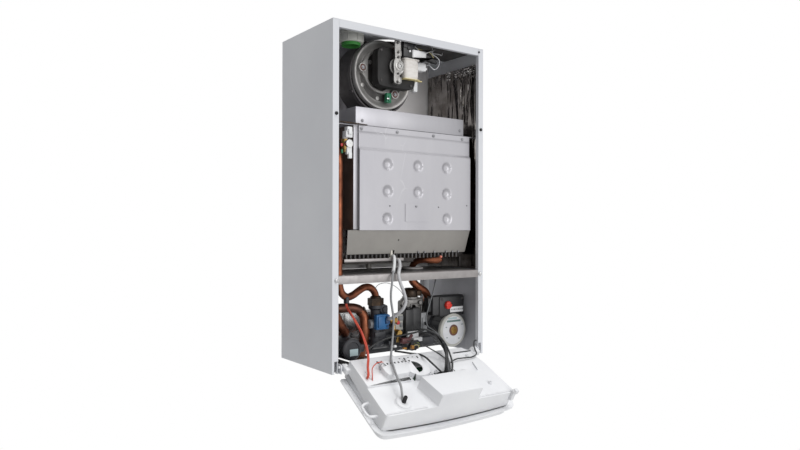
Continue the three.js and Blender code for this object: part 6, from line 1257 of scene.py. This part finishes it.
def makePump(look):
    x, z, face, front = look["x"], look["z"], look["face"], look["motorFront"]
    bm = bmesh.new()
    joint = look["front"] - 0.3
    turnIn(bm, [(0, joint), (41, joint), (41, joint - 5), (37, joint - 9), (36, front + 11), (36.6, front + 8),
                (0, front + 8)], (x, 0, z), "y", 56)
    for k in range(look["fins"]):
        angle = 2 * math.pi * k / look["fins"]
        out = Vector((math.cos(angle), 0, math.sin(angle)))
        spot = Vector((x, 0, z)) + out * look["finsAt"]
        rodIn(bm, spot + Vector((0, joint - 9, 0)), spot + Vector((0, front + 10, 0)), 1, segments=6)
    finishPiece(bm, "pump_motor_case", "black_blue", slot="cast_alloy", replaces=("pump_motor",))
    build("pump_face", "intake_grey",
          (turnIn, [(0, front + 8.4), (face, front + 8.4), (face, front + 3), (face - 1, front + 1),
                    (face - 3, front), (face - 5.4, front - 0.4), (face - 6.2, front + 0.3), (0, front + 0.3)],
           (x, 0, z), "y", 64), slot="grey_paint")
    build("pump_label", "label_ring",
          (turnIn, [(13.5, front + 0.4), (face - 6.6, front + 0.4), (face - 6.6, front - 0.3), (13.5, front - 0.3)],
           (x, 0, z), "y", 64), slot="white_plastic")
    build("pump_plug_ring", "mount_rubber",
          (turnIn, [(9.4, front + 0.4), (12.6, front + 0.4), (12.6, front - 1.2), (9.4, front - 1.4)], (x, 0, z),
           "y", 40), slot="grey_rubber")
    build("pump_plug", "brass",
          (turnIn, [(0, front - 1), (3, front - 1), (3.4, front - 2.8), (8.4, front - 2.8), (9.2, front - 2),
                    (9.2, front + 0.4), (0, front + 0.4)], (x, 0, z), "y", 40))
    build("pump_label_bar", "pump_bar", (boxIn, (x - 20, front - 0.6, z + 19), (x + 21, front + 0.2, z + 23.5), 0.1),
          *((boxIn, (x + across - 2, front - 0.6, z + up - 1), (x + across + 2, front + 0.2, z + up + 1), 0.1)
            for across, up in ((-22, 8), (26, 12), (16, -20), (-20, -16))), slot="grey_plastic")
    build("pump_label_stripe", "pale_blue",
          (boxIn, (x - 16, front - 0.6, z + 25.4), (x + 10, front + 0.2, z + 29.6), 0.1), slot="white_plastic")


makePump(pumpForm)

pumpBox = {"left": 97, "right": 190, "low": 85, "high": 132, "front": -168, "back": -143}


def makeTerminalBox(look):
    left, right, low, high, front, back = (look[key] for key in ("left", "right", "low", "high", "front", "back"))
    build("pump_box_case", "black_plastic", (boxIn, (left, front + 3, low + 2), (right, back, high), 3, 3),
          (boxIn, (left + 18, front, low), (right - 1, back - 4, high - 2), 2.4, 3),
          (boxIn, (left - 9, front + 8, 96), (left + 3, back, high - 4), 2), replaces=("pump_terminal_box",))
    build("pump_box_label", "label", (boxIn, (146, front - 0.7, 92.5), (185, front + 0.3, 105), 0.15),
          slot="white_plastic")
    build("pump_box_marks", "grey_plastic",
          *((boxIn, (149 + k * 4, front - 1, 97), (150.6 + (k % 3) * 0.6 + k * 4, front, 100.5), 0.05)
            for k in range(9)))
    for x, z in ((left + 24, high - 8), (right - 7, high - 8)):
        build("pump_box_screw_" + str(round(x)), "dark_steel", (screwIn, (x, front, z), (0, -1, 0), 2.8, 1.6))


makeTerminalBox(pumpBox)
softenNode("pump_speed_knob", "red_plastic", 0.5)
softenNode("plate_exchanger", "stainless", 0.8)


def makeFittings():
    # The small labels, clips and caps in the middle of the bay
    build("bay_tag", "label", (boxIn, (33, -178, 36), (57, -166, 45), 0.8), slot="white_plastic")
    build("bay_brass_cap", "brass",
          (turnIn, [(0, -182), (6, -182), (7, -180), (7, -168), (0, -168)], (-8, 0, 60), "y", 28),
          (rodIn, (-8, -176, 52), (-8, -172, 40), 4, None, 18))
    build("bay_black_fittings", "black_blue", (boxIn, (-16, -174, 40), (2, -168, 62), 1.5),
          (boxIn, (-26, -166, 28), (14, -156, 42), 2), (boxIn, (10, -182, 20), (46, -160, 40), 3),
          (boxIn, (52, -176, 24), (92, -160, 44), 3), slot="black_plastic")
    build("bay_dark_red_clip", "clip_maroon", (boxIn, (-12, -197, 38), (10, -184, 50), 3),
          (rodIn, (8, -192, 46), (20, -188, 54), 4, 3, 14), slot="red_plastic")
    build("bay_amber_bits", "amber", (boxIn, (12, -199, 25), (19, -192, 33), 1.2),
          (boxIn, (-8, -197, 26), (0, -190, 30), 1), slot="brass")
    build("bay_white_bit", "white_plastic", (boxIn, (-27, -188, 31), (-20, -181, 36), 1.4))


makeFittings()
print("bay made")

# The control panel, drawn flat, its back side up
softenNode("panel_back_cover", "panel_white", 1.1, slot="white_plastic")
softenNode("panel_fascia", "panel_white", 1.4, slot="white_plastic")
panelTop = 13
onPanel = {"body": "control_panel", "home": inPanel}


def makePanelDetails():
    bm = bmesh.new()
    for x, along, radius in ((-7, 68, 3.4), (10, 65, 3.4), (78, 77, 4), (118, 120, 3.6), (120, 34, 3.6)):
        turnIn(bm, [(0, panelTop - 0.2), (radius + 0.8, panelTop - 0.2), (radius, panelTop + 4.4),
                    (radius - 0.6, panelTop + 5), (radius * 0.5, panelTop + 5), (radius * 0.5, panelTop + 2),
                    (0, panelTop + 2)], (x, -along, 0), "z", 22)
    rib = [(118.6, -55), (114.6, -78), (117.4, -78), (121.4, -55)]
    plateIn(bm, rib, "plan", panelTop - 0.2, panelTop + 3.4)
    for low, high in (((90, -21.4), (145, -20.6)), ((90, -16.2), (145, -15.4)), ((90, -21.4), (90.8, -15.4)),
                      ((144.2, -21.4), (145, -15.4))):
        boxIn(bm, (*low, panelTop - 0.2), (*high, panelTop + 1), 0.3)
    boxIn(bm, (-44, -154.6, 36), (56, -152.6, 42.2), 0.8)
    boxIn(bm, (-164, -152, panelTop - 0.2), (-70, -150.4, panelTop + 2.2), 0.6)
    boxIn(bm, (62, -152, panelTop - 0.2), (156, -150.4, panelTop + 2.2), 0.6)
    finishPiece(bm, "panel_ribs_bosses", "panel_white", **onPanel, slot="white_plastic")
    build("panel_corner_hook", "panel_white", (boxIn, (150, -162, -5), (160, -153, 21), 2.6, 3),
          (boxIn, (152, -164, 13), (163, -155, 24), 2.6, 3), **onPanel, slot="white_plastic")
    loop = openRoute([inPanel @ Vector(spot)
                      for spot in ((-164, -97, -7), (-176, -98, -7), (-184, -102, -8), (-186, -112, -8),
                                   (-186, -120, -8), (-183, -128, -8), (-175, -131, -7), (-164, -131, -7))], 6)
    finishPiece(tubeMesh("panel_side_loop", [loop], 2.6 * mm, 16), "panel_side_loop", "panel_white", "control_panel",
                slot="white_plastic", smooth=70)
    build("panel_slots_shade", "slot_shade", (boxIn, (92, -20.4, panelTop), (143, -16.4, panelTop + 0.25)),
          *((boxIn, (-103 + 9 * k, -40, 28.8), (-99.6 + 9 * k, -36, 29.25)) for k in range(7)),
          *((boxIn, (-112 + 11.2 * k, -22, 17.3),
             (-108.6 + 11.2 * k, -16, 17.7) if k < 5 else (-108.6 + 11.2 * k, -16, 17.6)) for k in range(10)),
          (boxIn, (-6, -86, panelTop), (-2, -66, panelTop + 0.25)),
          (boxIn, (56.5, -88, panelTop), (58.5, -66, panelTop + 0.25)), **onPanel, slot="black_plastic")
    build("lead_seat_disc", "panel_white",
          (turnIn, [(3.4, 13.2), (16, 13.2), (15.4, 16.4), (14, 17.6), (9, 18), (5, 17.8), (3.4, 17)],
           (-115.5, -131.5, 0), "z", 40), **onPanel, slot="white_plastic")
    build("electrode_lead_boot", "slot_shade",
          (turnIn, [(2.4, 15), (4.2, 15), (4.4, 17), (4, 22), (3.8, 30), (3.2, 31), (2.4, 31)], (-115.5, -131.5, 0),
           "z", 28), **onPanel, slot="grey_rubber")
    build("cable_entry_blocks", "black_blue",
          *((boxIn, (x - wide / 2, -along - deep / 2, 6), (x + wide / 2, -along + deep / 2, panelTop - 3 + tall), 1)
            for x, along, wide, deep, tall in ((30, 77, 40, 18, 3), (20, 77, 6, 12, 7), (34, 79, 9, 12, 8),
            (46, 76, 6, 12, 7))), **onPanel, slot="black_plastic")
    build("panel_cable_bridge", "panel_white", (boxIn, (-8, -96, panelTop - 0.1), (60, -92, panelTop + 6), 1.2),
          (boxIn, (-152, -62, 17.4), (-146, -40, 20), 0.8), **onPanel, slot="white_plastic")


makePanelDetails()
softenNode("heating_knob", "grey_plastic", 0.5)
softenNode("hot_water_knob", "grey_plastic", 0.5)
softenNode("reset_button", "grey_plastic", 0.5)
softenNode("pressure_gauge", "black_plastic", 0.4)
softenNode("circuit_board", "board", 0.2)


def panelPoints(node):
    return [inPanel.inverted() @ nodes[node].matrix_world @ vert.co for vert in nodes[node].data.vertices]


dials = {"knobs": (42, 100), "along": -88, "marks": 11, "marksAt": 25, "gauge": (-110, -88), "ticks": 13,
         "bowReach": 30}


def makeFasciaMarks(look):
    # Scale marks round the knobs and the gauge's dial with its needle, on the outer face
    marks, dial = bmesh.new(), bmesh.new()
    for x in look["knobs"]:
        out = min(spot.z for spot in panelPoints("panel_fascia") if abs(spot.x - x) < look["bowReach"])
        for k in range(look["marks"]):
            angle = math.radians(-135 + 27 * k + 90)
            way = Vector((math.cos(angle), math.sin(angle), 0))
            spot = Vector((x, look["along"], 0)) + way * look["marksAt"]
            rodIn(marks, spot + Vector((0, 0, out - 0.1)), spot + way * 3 + Vector((0, 0, out - 0.1)), 0.55,
                  segments=6)
    finishPiece(marks, "knob_scale_marks", "grey_plastic", **onPanel)
    out = min(spot.z for spot in panelPoints("pressure_gauge"))
    turnIn(dial, [(0, out + 1.2), (19.6, out + 1.2), (19.6, out - 0.1), (0, out - 0.1)], (*look["gauge"], 0), "z", 40)
    finishPiece(dial, "gauge_dial", "plug_white", **onPanel, slot="white_plastic")
    ticks = bmesh.new()
    for k in range(look["ticks"]):
        angle = math.radians(225 - 22.5 * k)
        way = Vector((math.cos(angle), math.sin(angle), 0))
        start = Vector((*look["gauge"], out - 0.2))
        rodIn(ticks, start + way * (14 if k % 3 == 0 else 16), start + way * 18, 0.4, segments=6)
    rodIn(ticks, (*look["gauge"], out - 0.6), (-99, -80, out - 0.6), 0.7, 0.2, 8)
    turnIn(ticks, [(0, out - 0.1), (2.6, out - 0.1), (2.2, out - 1.4), (0, out - 1.4)], (*look["gauge"], 0), "z", 20)
    finishPiece(ticks, "gauge_ticks_needle", "black_plastic", **onPanel)


makeFasciaMarks(dials)
print("panel made")

# Dark sheets at the bay's rear and floor, and a darker sheet on the right wall, all painted shade; then the thin
# wires of the bay and the panel
build("bay_painted_shade_sheets", "black_blue", (boxIn, (-196, -79.4, 0.6), (196, -78, 12.4), 0.3),
      (boxIn, (-196.5, -206, 1), (-110, -79.6, 1.8)), slot="dark_steel")
# A darker sheet on the right wall inside the bay: painted shade
build("bay_wall_shade_sheet", "wall_shade", (boxIn, (198.3, -204, 2), (198.75, -24, 176)), slot="dark_steel")

thinWires = [
    ("second_black_wire", 4, "black_wire", None, None,
     [(24, -196, 66), (36, -214, 68), (50, -228, 61), (60, -240, 50), (65, -252, 34), (66, -262, 18), (62, -274, 4),
      (54, -284, -4), (46, -291, -12)]),
    ("third_black_wire", 4, "black_wire", None, None,
     [(-27, -190, 24), (-21, -205, 24), (-8, -222, 22), (6, -232, 20), (4, -255, 18), (-2, -278, 14), (2, -289, 6),
      (12, -292, -4), (22, -291, -12)]),
    ("fourth_black_wire", 3.4, "black_wire", None, None,
     [(30, -204, 62), (42, -220, 58), (52, -233, 47), (58, -246, 34), (60, -258, 18), (56, -270, 6), (48, -282, -2),
      (40, -290, -12)]),
    ("diagonal_black_wire", 2.6, "black_wire", None, None,
     [(-6, -206, 46), (6, -226, 42), (16, -240, 38), (28, -248, 30), (42, -256, 20), (54, -266, 8), (52, -278, 0),
      (44, -288, -10)]),
    ("black_arch_wire", 4, "black_wire", None, "case",
     [(-92, -182, 33), (-78, -183, 41), (-64, -184, 47), (-42, -185, 53), (-7, -185, 55), (32, -184, 58),
      (56, -184, 61)]),
    ("thin_arc_wire", 1.3, "grey_wire", None, "case",
     [(-52, -150, 148), (-50, -150, 158), (-41, -150, 165), (-20, -150, 167), (1, -150, 159), (18, -150, 146),
      (26, -150, 134)]),
    ("gauge_capillary", 3, "capillary_grey", "grey_wire", None,
     [(97, -180, 184), (87, -187, 173), (77, -193, 151), (69, -194, 132), (60, -194, 108), (54, -195, 88),
      (55, -199, 72), (60, -210, 65), (65, -226, 54), (60, -248, 40), (48, -272, 28), (38, -288, 14),
      (37, -291, -8)]),
    ("yellow_valve_wire", 1.8, "yellow_wire", "grey_wire", "case",
     [(14, -176, 20), (20, -184, 27), (28, -191, 32), (36, -190, 30), (41, -184, 22)]),
    ("green_valve_wire", 1.8, "green_wire", "grey_wire", "case",
     [(17, -174, 22), (23, -184, 31), (31, -190, 36), (40, -188, 34), (46, -182, 24)]),
    ("thin_red_loop", 2, "red_wire", None, "control_panel",
     [(-149, -286, -5), (-148, -284, 3), (-143, -276, 15), (-128, -268, 22), (-111, -262, 22), (-102, -263, 17)]),
    ("small_grey_loop", 2.2, "grey_wire", None, "control_panel",
     [(-118, -267, 8), (-123, -273.5, 16.5), (-117, -272.5, 21.5), (-109, -271.5, 17.5), (-99, -266, 10)]),
]
for name, wide, finish, slot, body, points in thinWires:
    makeCord(name, {"diameter": wide, "points": points}, finish, slot=slot, body=body)
print("wires made")
